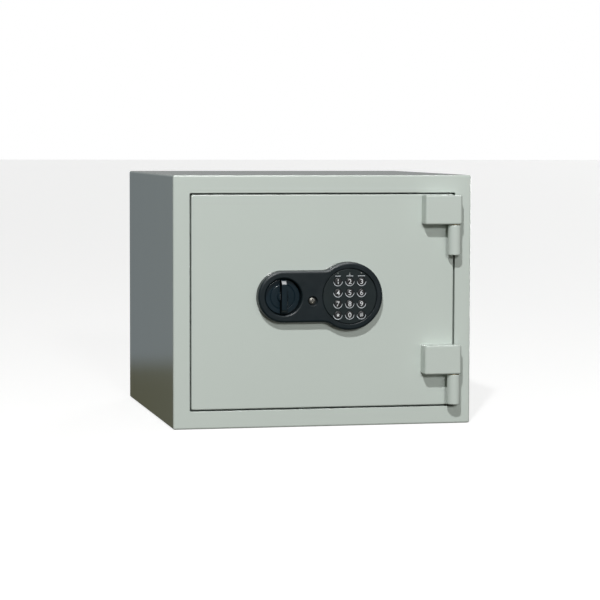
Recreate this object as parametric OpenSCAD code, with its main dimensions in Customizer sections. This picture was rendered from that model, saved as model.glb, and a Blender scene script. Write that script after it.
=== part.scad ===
// In-room safe: a fire-resistant steel cabinet whose door is locked by a keypad, a turning knob
// and two sliding bolts. +X is to the right seen from the front, +Y goes to the back, +Z is up.
// The origin is the centre of the cabinet's base. "Depth" is measured back from the front face.

/* [Cabinet] */
// Width of the cabinet
body_w = 430; // [420:5:460]
// Depth of the cabinet, without its hinges and knob
body_d = 420; // [400:5:480]
// Height of the cabinet
body_h = 355; // [355:5:400]
// Thickness of the outer steel sheet
sheet = 2; // [1.5:0.5:2.5]
// Outer corner radius of the cabinet, seen from the front
body_corner = 3; // [3:0.5:5]
// Width of the front frame at the sides
frame_side = 23.5; // [22:0.5:25]
// Width of the front frame at the top and bottom
frame_top = 25; // [23:0.5:27]
// Thickness of the insulated wall, outside to inside
wall = 55; // [52:1:60]
// Thickness of the inner liner's sheet
liner_sheet = 1.5; // [1:0.5:2]

/* [Door] */
// Gap between the door and the frame
door_gap = 2.2; // [2:0.1:3]
// Depth of the door's folded steel pan
pan_depth = 26; // [24:1:27]
// Thickness of the door's front plate
door_plate = 3; // [2:0.5:4]
// Depth of the inner cover's back face
cover_depth = 72; // [70:1:74]

/* [Hinges] */
// Distance from the hinge axis to the right side of the cabinet
hinge_inset = 28; // [27:0.5:29]
// Distance from the hinge axis forward to the front face
hinge_forward = 12.5; // [12:0.5:13]
// Radius of the hinge knuckles
knuckle_r = 9.5; // [9:0.5:10]
// Radius of the hinge pins
hinge_pin_r = 5; // [4:0.5:6]
// Height of a hinge block
block_h = 41.5; // [38:0.5:42]
// Height of a hinge knuckle
knuckle_h = 42.5; // [36:0.5:43]

/* [Boltwork] */
// Radius of the two live bolts
bolt_r = 9; // [8:0.5:9]
// Travel of the live bolts
bolt_throw = 20; // [16:1:20]
// Radius of the two fixed bolts on the hinge side
fixed_bolt_r = 8; // [7:0.5:8]
// Lower bolt's height above the base
bolt_low = 110; // [105:1:120]
// Upper bolt's height above the base
bolt_high = 245; // [240:1:250]
// Travel of the locking pin
pin_travel = 6; // [5:0.5:6]

/* [Lock front] */
// Sideways place of the knob's axis from the cabinet's centre line
knob_x = -60.8; // [-66:0.2:-60]
// Height of the knob's axis and of the keypad's centre
lock_z = 184.9; // [183:0.1:188]
// Distance between the centres of the escutcheon's two lobes
lobe_pitch = 95; // [95:0.1:99]
// Radius of the escutcheon's lobe round the knob
small_lobe_r = 36.6; // [36:0.1:38]
// Radius of the escutcheon's lobe round the keypad
big_lobe_r = 48.3; // [47:0.1:49]
// Height of the escutcheon above the door
escutcheon_h = 14; // [14:0.5:15]
// Radius of the recess that the knob turns in
dish_r = 26; // [26:0.5:27]
// Sideways distance between keys
key_pitch_x = 17; // [16.5:0.1:17]
// Upright distance between keys
key_pitch_z = 15.7; // [15.5:0.1:15.8]
// Radius of a key
key_r = 5.3; // [5:0.1:5.5]
// Travel of a key
key_travel = 1.2; // [1:0.1:1.2]

/* [Anchors] */
// Radius of the anchor holes
anchor_r = 6.5; // [5:0.5:7]
// Distance between the two anchor holes of a wall
anchor_pitch = 200; // [160:10:220]

/* [Hidden] */
$fn = 64;

paint = [0.72, 0.75, 0.73];
zinc = [0.75, 0.76, 0.78];
charcoal = [0.15, 0.16, 0.17];
front_y = -body_d / 2;
past = 1;               // how far a cutting shape runs past the surface that it cuts

// Frame section, as [side, top] distances in from the cabinet's outside
frame_in = [frame_side, frame_top];
rebate_in = [44, 45];
liner_in = [wall, wall];
frame_back = 32;        // depth of the rebate face's rear side
reveal_back = 80;       // depth at which the liner begins
liner_back = body_d - wall;

// Door section
door_in = [frame_side + door_gap, frame_top + door_gap];
rim_depth = 12;         // the pan is full size down to here, and stepped in behind
rim_step = 1.5;
plate_back = pan_depth + sheet;
cover_left = -body_w / 2 + 54;
cover_right = body_w / 2 - 49;
cover_low = 51;
cover_high = body_h - 51;
cover_sheet = 1.5;

// Hinges
hinge_x = body_w / 2 - hinge_inset;
hinge_y = front_y - hinge_forward;
hinge_gap = 1.2;        // between a block and its knuckle, filled by a washer
block_base = [72.7, body_h - frame_top - 3 - block_h];
block_left = 45;        // from the axis to the block's left end
block_right = 9;        // from the axis to the block's right end
block_front = 10.5;     // from the axis to the block's front face
block_turn_r = 12;      // the block's right end keeps inside this radius so that it can turn

// Lock parts, by depth
crank_depth = 34.5;
crank_h = 5.5;
arm_depth = 44.5;
arm_h = 4;
bolt_depth = 55;
crank_r = bolt_throw / sqrt(2);
crank_pin_r = 3;
crank_slot_play = 0.7;
spindle_w = 8;
bolt_len = 50;
bolt_tip = cover_left + 0.5;
flange_x = bolt_tip + bolt_len;
flange_t = 4;
arm_top = lock_z + 29.7;
arm_low = lock_z - 20.3;
arm_right = 24;
pin_x = -10;
pin_depth = arm_depth + arm_h / 2;
pin_r = 4;
notch_depth = pin_travel + 1.2;
stud_x = [-90, -30];
stud_z = lock_z - 10;
stud_r = 4;
post_x = [-140, 145];
post_z = [68, body_h - 68];
case_low = arm_top + 2;
case_high = case_low + 58;
case_half_w = 22;
case_back = 66;
coil_low = case_low + 19;
coil_high = coil_low + 30;
collar_low = case_low + 9;

// Batteries
cell_r = 7.1;
cell_len = 50.5;
cell_pitch = 15;
box_x = 85;
box_z = 179;
box_w = 66;
box_h = 58;
box_front = 49;
lid_w = 70;
lid_h = 62;
lid_play = 0.3;

// Lock front
keypad_x = knob_x + lobe_pitch;
neck_r = 20;
screw_x = -19.2;
screw_z = lock_z - 6.2;
fascia_r = 38.6;
fascia_gap = 1;                     // groove left open round the fascia
fascia_depth = -escutcheon_h + 0.8;
ledge_r = 38;
seat_depth = -escutcheon_h + 3;     // the fascia lies on this
mat_depth = seat_depth + 3;         // the keypad's mat and board stand behind the seat
board_depth = mat_depth + 1;
board_back = board_depth + 1.6;
board_r = fascia_r + 1;
key_back = mat_depth - key_travel - 0.4;
key_top_z = lock_z + 20.8;
lens_z = lock_z + 32.5;
lens_r = 0.9;
rear_anchor_z = 235;
shelf_z = 176;

// ---- Shapes ----

// Box between two corners, with its y range given as depths
module box(x0, x1, d0, d1, z0, z1) {
    translate([x0, front_y + d0, z0]) cube([x1 - x0, d1 - d0, z1 - z0]);
}

// Round bars along each axis, from one place to another
module bar_x(r, x0, x1, d, z) {
    translate([x0, front_y + d, z]) rotate([0, 90, 0]) cylinder(r = r, h = x1 - x0);
}

module bar_y(r, d0, d1, x, z) {
    translate([x, front_y + d1, z]) rotate([90, 0, 0]) cylinder(r = r, h = d1 - d0);
}

module bar_z(r, z0, z1, x, d) {
    translate([x, front_y + d, z0]) cylinder(r = r, h = z1 - z0);
}

// Rectangle with round corners, made of squares and circles so that its arcs stay true
module rounded_rect(x0, x1, z0, z1, r) {
    translate([x0 + r, z0]) square([x1 - x0 - 2 * r, z1 - z0]);
    translate([x0, z0 + r]) square([x1 - x0, z1 - z0 - 2 * r]);
    for (x = [x0 + r, x1 - r], z = [z0 + r, z1 - r]) translate([x, z]) circle(r = r);
}

// An outline drawn as seen from the front, made solid from depth d0 back to d1
module from_front(d0, d1) {
    translate([0, front_y + d1, 0]) rotate([90, 0, 0]) linear_extrude(d1 - d0) children();
}

// A slab that is centred on the cabinet and lies [side, top] in from its outside
module slab(inset, d0, d1, r = 1) {
    from_front(d0, d1)
        rounded_rect(-body_w / 2 + inset[0], body_w / 2 - inset[0], inset[1], body_h - inset[1], r);
}

// A picture-frame ring between two such outlines
module ring(outer, inner, d0, d1, r_out = 1, r_in = 1) {
    difference() {
        slab(outer, d0, d1, r_out);
        slab(inner, d0 - past, d1 + past, r_in);
    }
}

function arc(centre, r, from, to, steps) =
    [for (i = [0:steps]) let (a = from + (to - from) * i / steps) centre + r * [cos(a), sin(a)]];

// Two-lobed outline round the small lobe's centre, drawn in by inset all round. Its upper half
// runs from the right end over the big lobe, the hollow neck and the small lobe to the left end.
module escutcheon_outline(inset = 0) {
    small = small_lobe_r - inset;
    big = big_lobe_r - inset;
    neck = neck_r + inset;
    neck_x = lobe_pitch - sqrt(pow(big + neck, 2) - pow(small + neck, 2));
    turn = atan2(small + neck, neck_x - lobe_pitch);
    upper = concat(
        arc([lobe_pitch, 0], big, 0, turn, 30),
        arc([neck_x, small + neck], neck, turn - 180, -90, 8),
        arc([0, 0], small, 90, 180, 24));
    lower = [for (i = [len(upper) - 2:-1:1]) [upper[i][0], -upper[i][1]]];
    polygon(concat(upper, lower));
}

module escutcheon_layer(inset, d0, d1) {
    from_front(d0, d1) translate([knob_x, lock_z]) escutcheon_outline(inset);
}

module anchor_holes_floor(r) {
    for (side = [-1, 1])
        translate([side * anchor_pitch / 2, 0, -past]) cylinder(r = r, h = wall + 10);
}

module anchor_holes_rear(r) {
    for (side = [-1, 1])
        bar_y(r, liner_back - past, body_d + past, side * anchor_pitch / 2, rear_anchor_z);
}

// Pushes its child to the places of the two live bolts or of the two fixed bolts
module at_bolts() {
    for (z = [bolt_low, bolt_high]) translate([0, 0, z]) children();
}

// Tube swept along a list of points, for a cable that the door holds all the way
function unit(v) = v / norm(v);
function ring_dir(path, i) =
    i == 0 ? unit(path[1] - path[0])
    : i == len(path) - 1 ? unit(path[i] - path[i - 1])
    : unit(unit(path[i + 1] - path[i]) + unit(path[i] - path[i - 1]));
function ring_side(path, i) = unit(cross(ring_dir(path, i), [0.2, 0.1, 1]));
function smooth(p, i, t) =
    let (a = p[max(i - 1, 0)], b = p[i], c = p[i + 1], d = p[min(i + 2, len(p) - 1)])
    0.5 * (2 * b + (c - a) * t + (2 * a - 5 * b + 4 * c - d) * t * t
           + (3 * b - a - 3 * c + d) * t * t * t);
function fine_path(p, steps) = concat(
    [for (i = [0:len(p) - 2], s = [0:steps - 1]) smooth(p, i, s / steps)], [p[len(p) - 1]]);

module cable(points, r, sides = 10) {
    path = fine_path(points, 3);
    n = len(path);
    verts = [for (i = [0:n - 1]) let (u = ring_side(path, i), v = cross(ring_dir(path, i), u))
             for (k = [0:sides - 1])
                 path[i] + r * (cos(360 * k / sides) * u + sin(360 * k / sides) * v)];
    faces = concat(
        [[for (k = [0:sides - 1]) sides - 1 - k]],
        [for (i = [0:n - 2], k = [0:sides - 1]) let (m = (k + 1) % sides)
            [i * sides + k, i * sides + m, (i + 1) * sides + m, (i + 1) * sides + k]],
        [[for (k = [0:sides - 1]) (n - 1) * sides + k]]);
    polyhedron(points = verts, faces = faces, convexity = 4);
}

// ---- Cabinet ----

// Folded outer sheet: sides, top, bottom and the front frame's face
module outer_shell() {
    color(paint) difference() {
        slab([0, 0], 0, body_d, body_corner);
        slab([sheet, sheet], sheet, body_d + past, body_corner - sheet + 0.5);
        slab(frame_in, -past, sheet + past, 2);
        anchor_holes_floor(anchor_r);
    }
}

// Rear sheet, let in between the outer sheet's edges on a folded rim
module back_panel() {
    color(paint) difference() {
        union() {
            slab([sheet, sheet], body_d - sheet, body_d, body_corner - sheet + 0.5);
            ring([sheet, sheet], [2 * sheet, 2 * sheet], body_d - 14, body_d - sheet,
                 body_corner - sheet + 0.5, 0.5);
        }
        anchor_holes_rear(anchor_r);
    }
}

// Reveal, rebate face, second reveal and the step to the liner, folded from one profile
module door_frame() {
    outer = frame_in - [sheet, sheet];
    inner = rebate_in - [sheet, sheet];
    color(paint) difference() {
        union() {
            ring(outer, frame_in, sheet, frame_back, 2, 2);
            ring(outer, rebate_in, frame_back - sheet, frame_back, 2, 2);
            ring(inner, rebate_in, frame_back - sheet, reveal_back, 2, 2);
            ring(inner, liner_in, reveal_back - sheet, reveal_back, 2, 2);
        }
        at_bolts() bar_x(bolt_r + 2.5, -body_w / 2, -body_w / 2 + 50, bolt_depth, 0);
        at_bolts() bar_x(fixed_bolt_r + 4, body_w / 2 - 50, body_w / 2, bolt_depth, 0);
    }
}

module inner_liner() {
    outer = liner_in - [liner_sheet, liner_sheet];
    color([0.66, 0.68, 0.67]) difference() {
        slab(outer, reveal_back, liner_back + liner_sheet, 3);
        slab(liner_in, reveal_back - past, liner_back, 2);
        anchor_holes_floor(anchor_r);
        anchor_holes_rear(anchor_r);
    }
}

// Steel cup behind the frame that a bolt enters, drawn with its mouth at x = 0 and going to -x
module strike_box(hole_r) {
    deep = 20;
    half = 18;
    difference() {
        box(-deep, 0, bolt_depth - half, bolt_depth + half, -half, half);
        box(-deep + 1.5, -3, bolt_depth - half + 1.5, bolt_depth + half - 1.5, -half + 1.5, half - 1.5);
        bar_x(hole_r, -5, past, bolt_depth, 0);
    }
}

module strike_boxes() {
    mouth = body_w / 2 - rebate_in[0] + sheet;
    color(zinc) {
        at_bolts() translate([-mouth, 0, 0]) strike_box(bolt_r + 2.5);
        at_bolts() translate([mouth, 0, 0]) mirror([1, 0, 0]) strike_box(fixed_bolt_r + 4);
    }
}

// Cast fire-resistant fill between the outer sheet and the liner
module body_insulation() {
    skin = [sheet, sheet];
    mouth = body_w / 2 - rebate_in[0] + sheet;
    color([0.62, 0.60, 0.56]) difference() {
        slab(skin, sheet, body_d - sheet, body_corner - sheet + 0.5);
        slab(frame_in - skin, sheet - past, frame_back, 2);
        slab(rebate_in - skin, sheet, reveal_back, 2);
        slab(liner_in - [liner_sheet, liner_sheet], sheet, liner_back + liner_sheet, 3);
        ring([0, 0], 2 * skin, body_d - 14, body_d, 0.5, 0.5);
        anchor_holes_floor(anchor_r + 2.5);
        anchor_holes_rear(anchor_r + 2.5);
        for (side = [-1, 1]) at_bolts()
            box(side * mouth - 20, side * mouth + 20, bolt_depth - 18, bolt_depth + 18, -18, 18);
    }
}

// Steel tubes that keep the anchor holes open through the fill
module anchor_sleeves() {
    color(zinc) {
        for (side = [-1, 1]) translate([side * anchor_pitch / 2, 0, sheet]) difference() {
            cylinder(r = anchor_r + 2.5, h = wall - liner_sheet - sheet);
            translate([0, 0, -past]) cylinder(r = anchor_r, h = wall);
        }
        for (side = [-1, 1]) difference() {
            bar_y(anchor_r + 2.5, liner_back + liner_sheet, body_d - sheet,
                  side * anchor_pitch / 2, rear_anchor_z);
            bar_y(anchor_r, liner_back, body_d, side * anchor_pitch / 2, rear_anchor_z);
        }
    }
}

module shelf() {
    half = body_w / 2 - wall - 2;
    front = reveal_back + 22;
    rear = liner_back - 3;
    color(paint) {
        box(-half, half, front, rear, shelf_z, shelf_z + 1.5);
        box(-half, half, front, front + 1.5, shelf_z - 14, shelf_z);
        box(-half, half, front + 1.5, front + 10, shelf_z - 14, shelf_z - 12.5);
        box(-half, half, rear - 1.5, rear, shelf_z + 1.5, shelf_z + 12);
    }
}

module shelf_brackets() {
    reach = body_w / 2 - wall;
    color(zinc) for (side = [0, 1]) mirror([side, 0, 0]) {
        box(reach - 1.5, reach, reveal_back + 40, liner_back - 20, shelf_z - 16, shelf_z);
        box(reach - 12, reach - 1.5, reveal_back + 40, liner_back - 20, shelf_z - 1.5, shelf_z);
    }
}

module floor_mat() {
    color([0.16, 0.17, 0.19]) difference() {
        from_front(reveal_back + 3, liner_back - 2)
            translate([-body_w / 2 + wall + 2, wall]) square([body_w - 2 * wall - 4, 3]);
        anchor_holes_floor(anchor_r + 4);
    }
}

// ---- Hinges ----

function block_z(i) = block_base[i];
function knuckle_z(i) = block_base[i] - hinge_gap - knuckle_h;

// Round barrel on the frame with a web that is welded to the frame's face
module hinge_knuckle() {
    difference() {
        union() {
            cylinder(r = knuckle_r, h = knuckle_h);
            translate([5, 0, 0]) cube([knuckle_r - 5, hinge_forward, knuckle_h]);
        }
        translate([0, 0, 6]) cylinder(r = hinge_pin_r, h = knuckle_h);
    }
}

module hinge_knuckles() {
    color(paint) for (i = [0, 1])
        translate([hinge_x, hinge_y, knuckle_z(i)]) hinge_knuckle();
}

// Block on the door with a blind bore; its right end is rounded about the axis
module hinge_block() {
    difference() {
        union() {
            translate([-block_left, -block_front, 0])
                cube([block_left, block_front + hinge_forward, block_h]);
            intersection() {
                translate([-past, -block_front, 0])
                    cube([block_right + past, block_front + hinge_forward - 1, block_h]);
                cylinder(r = block_turn_r, h = block_h);
            }
        }
        translate([0, 0, -past]) cylinder(r = hinge_pin_r + 0.06, h = block_h - 7);
    }
}

module hinge_blocks() {
    color(paint) for (i = [0, 1])
        translate([hinge_x, hinge_y, block_z(i)]) hinge_block();
}

module hinge_pins() {
    color(zinc) for (i = [0, 1])
        translate([hinge_x, hinge_y, knuckle_z(i) + 6])
            cylinder(r = hinge_pin_r, h = knuckle_h + hinge_gap + block_h - 18);
}

module hinge_washers() {
    color([0.8, 0.68, 0.4]) for (i = [0, 1])
        translate([hinge_x, hinge_y, knuckle_z(i) + knuckle_h]) difference() {
            cylinder(r = knuckle_r - 1.5, h = hinge_gap - 0.2);
            translate([0, 0, -past]) cylinder(r = hinge_pin_r, h = 4);
        }
}

// ---- Door ----

// Folded pan: front plate and sides, stepped in behind the rim so that the door can swing
module door_skin() {
    stepped = door_in + [rim_step, rim_step];
    color(paint) difference() {
        union() {
            slab(door_in, 0, rim_depth, 2);
            slab(stepped, rim_depth, pan_depth, 2);
        }
        slab(stepped + [sheet, sheet], door_plate, pan_depth + past, 1);
        bar_y(7, -past, door_plate + past, knob_x, lock_z);
        bar_y(2.5, -past, door_plate + past, screw_x, screw_z);
        bar_y(4, -past, door_plate + past, cable_x, cable_z);
    }
}

module door_insulation() {
    fill_in = door_in + [rim_step + sheet, rim_step + sheet];
    color([0.62, 0.60, 0.56]) difference() {
        slab(fill_in, door_plate, pan_depth, 1);
        bar_y(10, 0, pan_depth + past, knob_x, lock_z);
        bar_y(4, 0, pan_depth + past, cable_x, cable_z);
    }
}

module door_back_plate() {
    color(paint) difference() {
        slab(door_in + [rim_step, rim_step], pan_depth, plate_back, 2);
        bar_y(10, pan_depth - past, plate_back + past, knob_x, lock_z);
        bar_y(4, pan_depth - past, plate_back + past, cable_x, cable_z);
    }
}

// Heat-swelling strip round the door's rear face
module door_seal() {
    color([0.2, 0.2, 0.2]) ring([30, 31], [40, 41], plate_back, plate_back + 1.6, 3, 2);
}

// Uprights that the bolts run through, welded to the door's rear plate
module bolt_guides() {
    color(zinc) {
        difference() {
            box(cover_left + 4, cover_left + 10, plate_back, 68, 88, body_h - 88);
            at_bolts() bar_x(bolt_r + 0.08, cover_left, cover_left + 20, bolt_depth, 0);
        }
        difference() {
            box(cover_right - 14, cover_right - 8, plate_back, 68, 88, body_h - 88);
            at_bolts() bar_x(fixed_bolt_r, cover_right - 20, cover_right, bolt_depth, 0);
        }
    }
}

module fixed_bolts() {
    color(zinc) at_bolts() bar_x(fixed_bolt_r, cover_right - 20, cover_right + 15, bolt_depth, 0);
}

// Shouldered studs that the bolt carriage's arm slides along
module guide_studs() {
    color(zinc) for (x = stud_x) {
        bar_y(stud_r, plate_back, arm_depth + arm_h + 1, x, stud_z);
        bar_y(stud_r + 3, plate_back, arm_depth - 0.5, x, stud_z);
        bar_y(stud_r + 3, arm_depth + arm_h + 0.5, arm_depth + arm_h + 3.5, x, stud_z);
    }
}

// Steel cover over the boltwork, with the bolt openings, battery window and the lid's rails
module inner_cover() {
    rail = lid_w / 2 + 0.3;
    rail_low = box_z - 1.5 * lid_h;
    rail_high = box_z + lid_h / 2;
    color([0.66, 0.68, 0.67]) difference() {
        union() {
            from_front(plate_back, cover_depth)
                rounded_rect(cover_left, cover_right, cover_low, cover_high, 4);
            for (side = [0, 1]) translate([box_x, 0, 0]) mirror([side, 0, 0]) {
                box(rail, rail + 3, cover_depth, cover_depth + 4, rail_low, rail_high);
                box(rail - 2, rail + 3, cover_depth + 2.6, cover_depth + 4, rail_low, rail_high);
            }
        }
        from_front(plate_back - past, cover_depth - cover_sheet)
            rounded_rect(cover_left + cover_sheet, cover_right - cover_sheet,
                         cover_low + cover_sheet, cover_high - cover_sheet, 2.5);
        at_bolts() bar_x(bolt_r + 0.8, cover_left - past, cover_left + 5, bolt_depth, 0);
        at_bolts() bar_x(fixed_bolt_r + 0.3, cover_right - 5, cover_right + past, bolt_depth, 0);
        box(box_x - box_w / 2 + 2, box_x + box_w / 2 - 2, cover_depth - 5, cover_depth + past,
            box_z - box_h / 2 + 2, box_z + box_h / 2 - 2);
        for (x = post_x, z = post_z) bar_y(2.2, cover_depth - 5, cover_depth + past, x, z);
    }
}

module cover_posts() {
    color(zinc) for (x = post_x, z = post_z) difference() {
        bar_y(5, plate_back, cover_depth - cover_sheet, x, z);
        bar_y(2, cover_depth - 14, cover_depth, x, z);
    }
}

// Pan head with a cross recess, seen from behind the door
module cover_screws() {
    color(zinc) for (x = post_x, z = post_z) difference() {
        union() {
            bar_y(4.2, cover_depth, cover_depth + 2.2, x, z);
            bar_y(2, cover_depth - 12, cover_depth, x, z);
        }
        box(x - 2.4, x + 2.4, cover_depth + 1, cover_depth + 3, z - 0.5, z + 0.5);
        box(x - 0.5, x + 0.5, cover_depth + 1, cover_depth + 3, z - 2.4, z + 2.4);
    }
}

// ---- Lock front ----

// Moulded housing: a hollow two-lobed shell with the knob's dish, a screw boss and a keypad seat
module escutcheon() {
    skin = 3;
    color(charcoal) difference() {
        union() {
            difference() {
                union() {
                    escutcheon_layer(0, -escutcheon_h + 5, 0);
                    escutcheon_layer(0.7, -escutcheon_h + 2.4, -escutcheon_h + 5);
                    escutcheon_layer(2, -escutcheon_h + 0.8, -escutcheon_h + 2.4);
                    escutcheon_layer(3.4, -escutcheon_h, -escutcheon_h + 0.8);
                }
                escutcheon_layer(skin, -escutcheon_h + skin, past);
            }
            bar_y(dish_r + 2.5, -escutcheon_h + 1, 0, knob_x, lock_z);
            bar_y(9.5, -escutcheon_h + 1, 0, screw_x, screw_z);
            bar_y(fascia_r + 3, seat_depth, mat_depth, keypad_x, lock_z);
        }
        bar_y(dish_r, -escutcheon_h - past, -2, knob_x, lock_z);
        bar_y(7, -escutcheon_h, past, knob_x, lock_z);
        bar_y(7, -escutcheon_h - past, -8.5, screw_x, screw_z);
        bar_y(2.7, -escutcheon_h, past, screw_x, screw_z);
        bar_y(fascia_r + fascia_gap, -escutcheon_h - past, seat_depth, keypad_x, lock_z);
        bar_y(ledge_r, -escutcheon_h, past, keypad_x, lock_z);
    }
}

module escutcheon_screw() {
    color(zinc) difference() {
        union() {
            bar_y(5, -11.5, -8.5, screw_x, screw_z);
            bar_y(2.5, -8.5, door_plate, screw_x, screw_z);
        }
        box(screw_x - 2.8, screw_x + 2.8, -12, -10, screw_z - 0.6, screw_z + 0.6);
        box(screw_x - 0.6, screw_x + 0.6, -12, -10, screw_z - 2.8, screw_z + 2.8);
    }
}

function key_x(i) = keypad_x + (i % 3 - 1) * key_pitch_x;
function key_z(i) = key_top_z - floor(i / 3) * key_pitch_z;

// Round plate that carries the keys and the three indicator lights
module keypad_fascia() {
    color(charcoal) difference() {
        bar_y(fascia_r, fascia_depth, seat_depth, keypad_x, lock_z);
        for (i = [0:11]) bar_y(key_r + 0.35, -escutcheon_h - past, seat_depth + past, key_x(i), key_z(i));
        for (i = [0:2]) bar_y(lens_r, -escutcheon_h - past, seat_depth + past, key_x(i), lens_z);
    }
}

module indicator_lenses() {
    color([0.8, 0.85, 0.8]) for (i = [0:2])
        bar_y(lens_r, fascia_depth - 0.2, fascia_depth + 2.7, key_x(i), lens_z);
}

// One key: a cap that comes through the fascia and a flange that stays behind it
module key(i) {
    color([0.1, 0.11, 0.12]) {
        bar_y(key_r, -escutcheon_h - 0.6, key_back, key_x(i), key_z(i));
        bar_y(key_r + 0.6, key_back - 1.1, key_back, key_x(i), key_z(i));
    }
}

// Rubber sheet that the keys press; it and the board lie against the back of the fascia's seat
module contact_mat() {
    color([0.3, 0.3, 0.3]) bar_y(board_r, mat_depth, board_depth, keypad_x, lock_z);
}

module keypad_board() {
    color([0.1, 0.35, 0.2]) bar_y(board_r, board_depth, board_back, keypad_x, lock_z);
}

// ---- Knob and its shaft ----

// Grip blade seen from the side, as [height from the axis, depth]
blade = [[-24, -5.5], [-23.8, -12], [-23.2, -13.6], [-18.6, -18.7], [-17.4, -19.3],
         [17.4, -19.3], [18.6, -18.7], [23.2, -13.6], [23.8, -12], [24, -5.5]];
blade_w = 7.6;

module knob() {
    color([0.12, 0.16, 0.2]) difference() {
        union() {
            bar_y(dish_r - 1.5, -5.5, -2.5, knob_x, lock_z);
            bar_y(6.2, -10, 0, knob_x, lock_z);
            translate([knob_x - blade_w / 2, front_y, lock_z]) rotate([0, 90, 0])
                linear_extrude(blade_w) polygon([for (p = blade) [-p[0], p[1]]]);
        }
        difference() {
            bar_y(17.8, -6, -5, knob_x, lock_z);
            bar_y(17, -7, -4, knob_x, lock_z);
            box(knob_x - blade_w / 2, knob_x + blade_w / 2, -7, -4, lock_z - 20, lock_z + 20);
        }
        box(knob_x - spindle_w / 2, knob_x + spindle_w / 2, -9, past,
            lock_z - spindle_w / 2, lock_z + spindle_w / 2);
    }
}

// Square shaft with a round journal and a stub for the clip
module spindle() {
    color(zinc) {
        box(knob_x - spindle_w / 2, knob_x + spindle_w / 2, -9, crank_depth + crank_h,
            lock_z - spindle_w / 2, lock_z + spindle_w / 2);
        bar_y(6.4, 6, crank_depth, knob_x, lock_z);
        bar_y(4, crank_depth + crank_h, crank_depth + crank_h + 3, knob_x, lock_z);
    }
}

// Long flanged bush through the door's fill that the spindle turns in
module spindle_bush() {
    color([0.8, 0.68, 0.4]) difference() {
        union() {
            bar_y(10, door_plate, plate_back + 3, knob_x, lock_z);
            bar_y(15, plate_back, plate_back + 3, knob_x, lock_z);
        }
        bar_y(6.46, 0, plate_back + 4, knob_x, lock_z);
    }
}

// Lever on the spindle; its pin stands in the carriage's slot, up and to the right at rest
module crank() {
    pin = crank_r * [sin(45), cos(45)];
    color(zinc) difference() {
        union() {
            bar_y(9, crank_depth, crank_depth + crank_h, knob_x, lock_z);
            bar_y(5.5, crank_depth, crank_depth + crank_h, knob_x + pin[0], lock_z + pin[1]);
            translate([knob_x, 0, lock_z]) rotate([0, 45, 0])
                box(-5.5, 5.5, crank_depth, crank_depth + crank_h, 0, crank_r);
            bar_y(crank_pin_r, crank_depth + crank_h, arm_depth + arm_h + 1.5,
                  knob_x + pin[0], lock_z + pin[1]);
        }
        box(knob_x - spindle_w / 2, knob_x + spindle_w / 2, crank_depth - past,
            crank_depth + crank_h + past, lock_z - spindle_w / 2, lock_z + spindle_w / 2);
    }
}

module spindle_clip() {
    clip_front = crank_depth + crank_h;
    color(zinc) difference() {
        bar_y(7.5, clip_front, clip_front + 1.2, knob_x, lock_z);
        bar_y(4, clip_front - past, clip_front + 2, knob_x, lock_z);
        box(knob_x - 2.5, knob_x + 2.5, clip_front - past, clip_front + 2, lock_z - 10, lock_z);
    }
}

// ---- Boltwork ----

// Folded plate: an upright flange that carries the bolts and an arm with the slots and notches
module bolt_carriage() {
    slot_x = knob_x + crank_r * sin(45);
    slot_low = lock_z + crank_r * cos(45);
    slot_high = lock_z + crank_r;
    slot_half = crank_pin_r + crank_slot_play;
    color(zinc) difference() {
        union() {
            box(flange_x, flange_x + flange_t, arm_depth, bolt_depth + 11, bolt_low - 14, bolt_high + 14);
            box(flange_x, arm_right, arm_depth, arm_depth + arm_h, arm_low, arm_top);
        }
        at_bolts() bar_x(4, flange_x - past, flange_x + 10, bolt_depth, 0);
        from_front(arm_depth - past, arm_depth + arm_h + past) {
            translate([slot_x - slot_half, slot_low - 1]) square([2 * slot_half, slot_high - slot_low + 2]);
            for (z = [slot_low - 1, slot_high + 1]) translate([slot_x, z]) circle(r = slot_half);
            for (x = stud_x) {
                translate([x, stud_z - stud_r - 0.4]) square([bolt_throw, 2 * stud_r + 0.8]);
                for (dx = [0, bolt_throw]) translate([x + dx, stud_z]) circle(r = stud_r + 0.4);
            }
            for (dx = [0, bolt_throw])
                translate([pin_x + dx - pin_r - 0.5, arm_top - notch_depth])
                    square([2 * pin_r + 1, notch_depth + past]);
        }
    }
}

// Round bolts with a chamfered tip and a threaded tail through the carriage
module locking_bolts() {
    color([0.8, 0.8, 0.82]) at_bolts() {
        bar_x(bolt_r, bolt_tip + 1.5, flange_x, bolt_depth, 0);
        translate([bolt_tip, front_y + bolt_depth, 0]) rotate([0, 90, 0])
            cylinder(r1 = bolt_r - 1.5, r2 = bolt_r, h = 1.5);
        bar_x(4, flange_x, flange_x + flange_t + 7, bolt_depth, 0);
    }
}

module bolt_nuts() {
    color(zinc) at_bolts() difference() {
        translate([flange_x + flange_t, front_y + bolt_depth, 0]) rotate([0, 90, 0])
            cylinder(r = 7.5, h = 5, $fn = 6);
        bar_x(4, flange_x, flange_x + 20, bolt_depth, 0);
    }
}

// ---- Electric lock ----

// Case that holds the solenoid, closed against the door's rear plate
module lock_case() {
    left = pin_x - case_half_w;
    right = pin_x + case_half_w;
    color([0.2, 0.21, 0.22]) difference() {
        union() {
            box(left, right, plate_back, case_back, case_low, case_high);
            for (x = [left - 8, right], z = [case_low + 4, case_high - 12])
                box(x, x + 8, plate_back, plate_back + 3, z, z + 8);
        }
        box(left + 2, right - 2, plate_back - past, case_back - 2, case_low + 2, case_high - 2);
        bar_z(pin_r + 0.3, case_low - past, case_low + 3, pin_x, pin_depth);
        for (x = [left - 4, right + 4], z = [case_low + 8, case_high - 8])
            bar_y(1.6, plate_back - past, plate_back + 5, x, z);
    }
}

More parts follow.
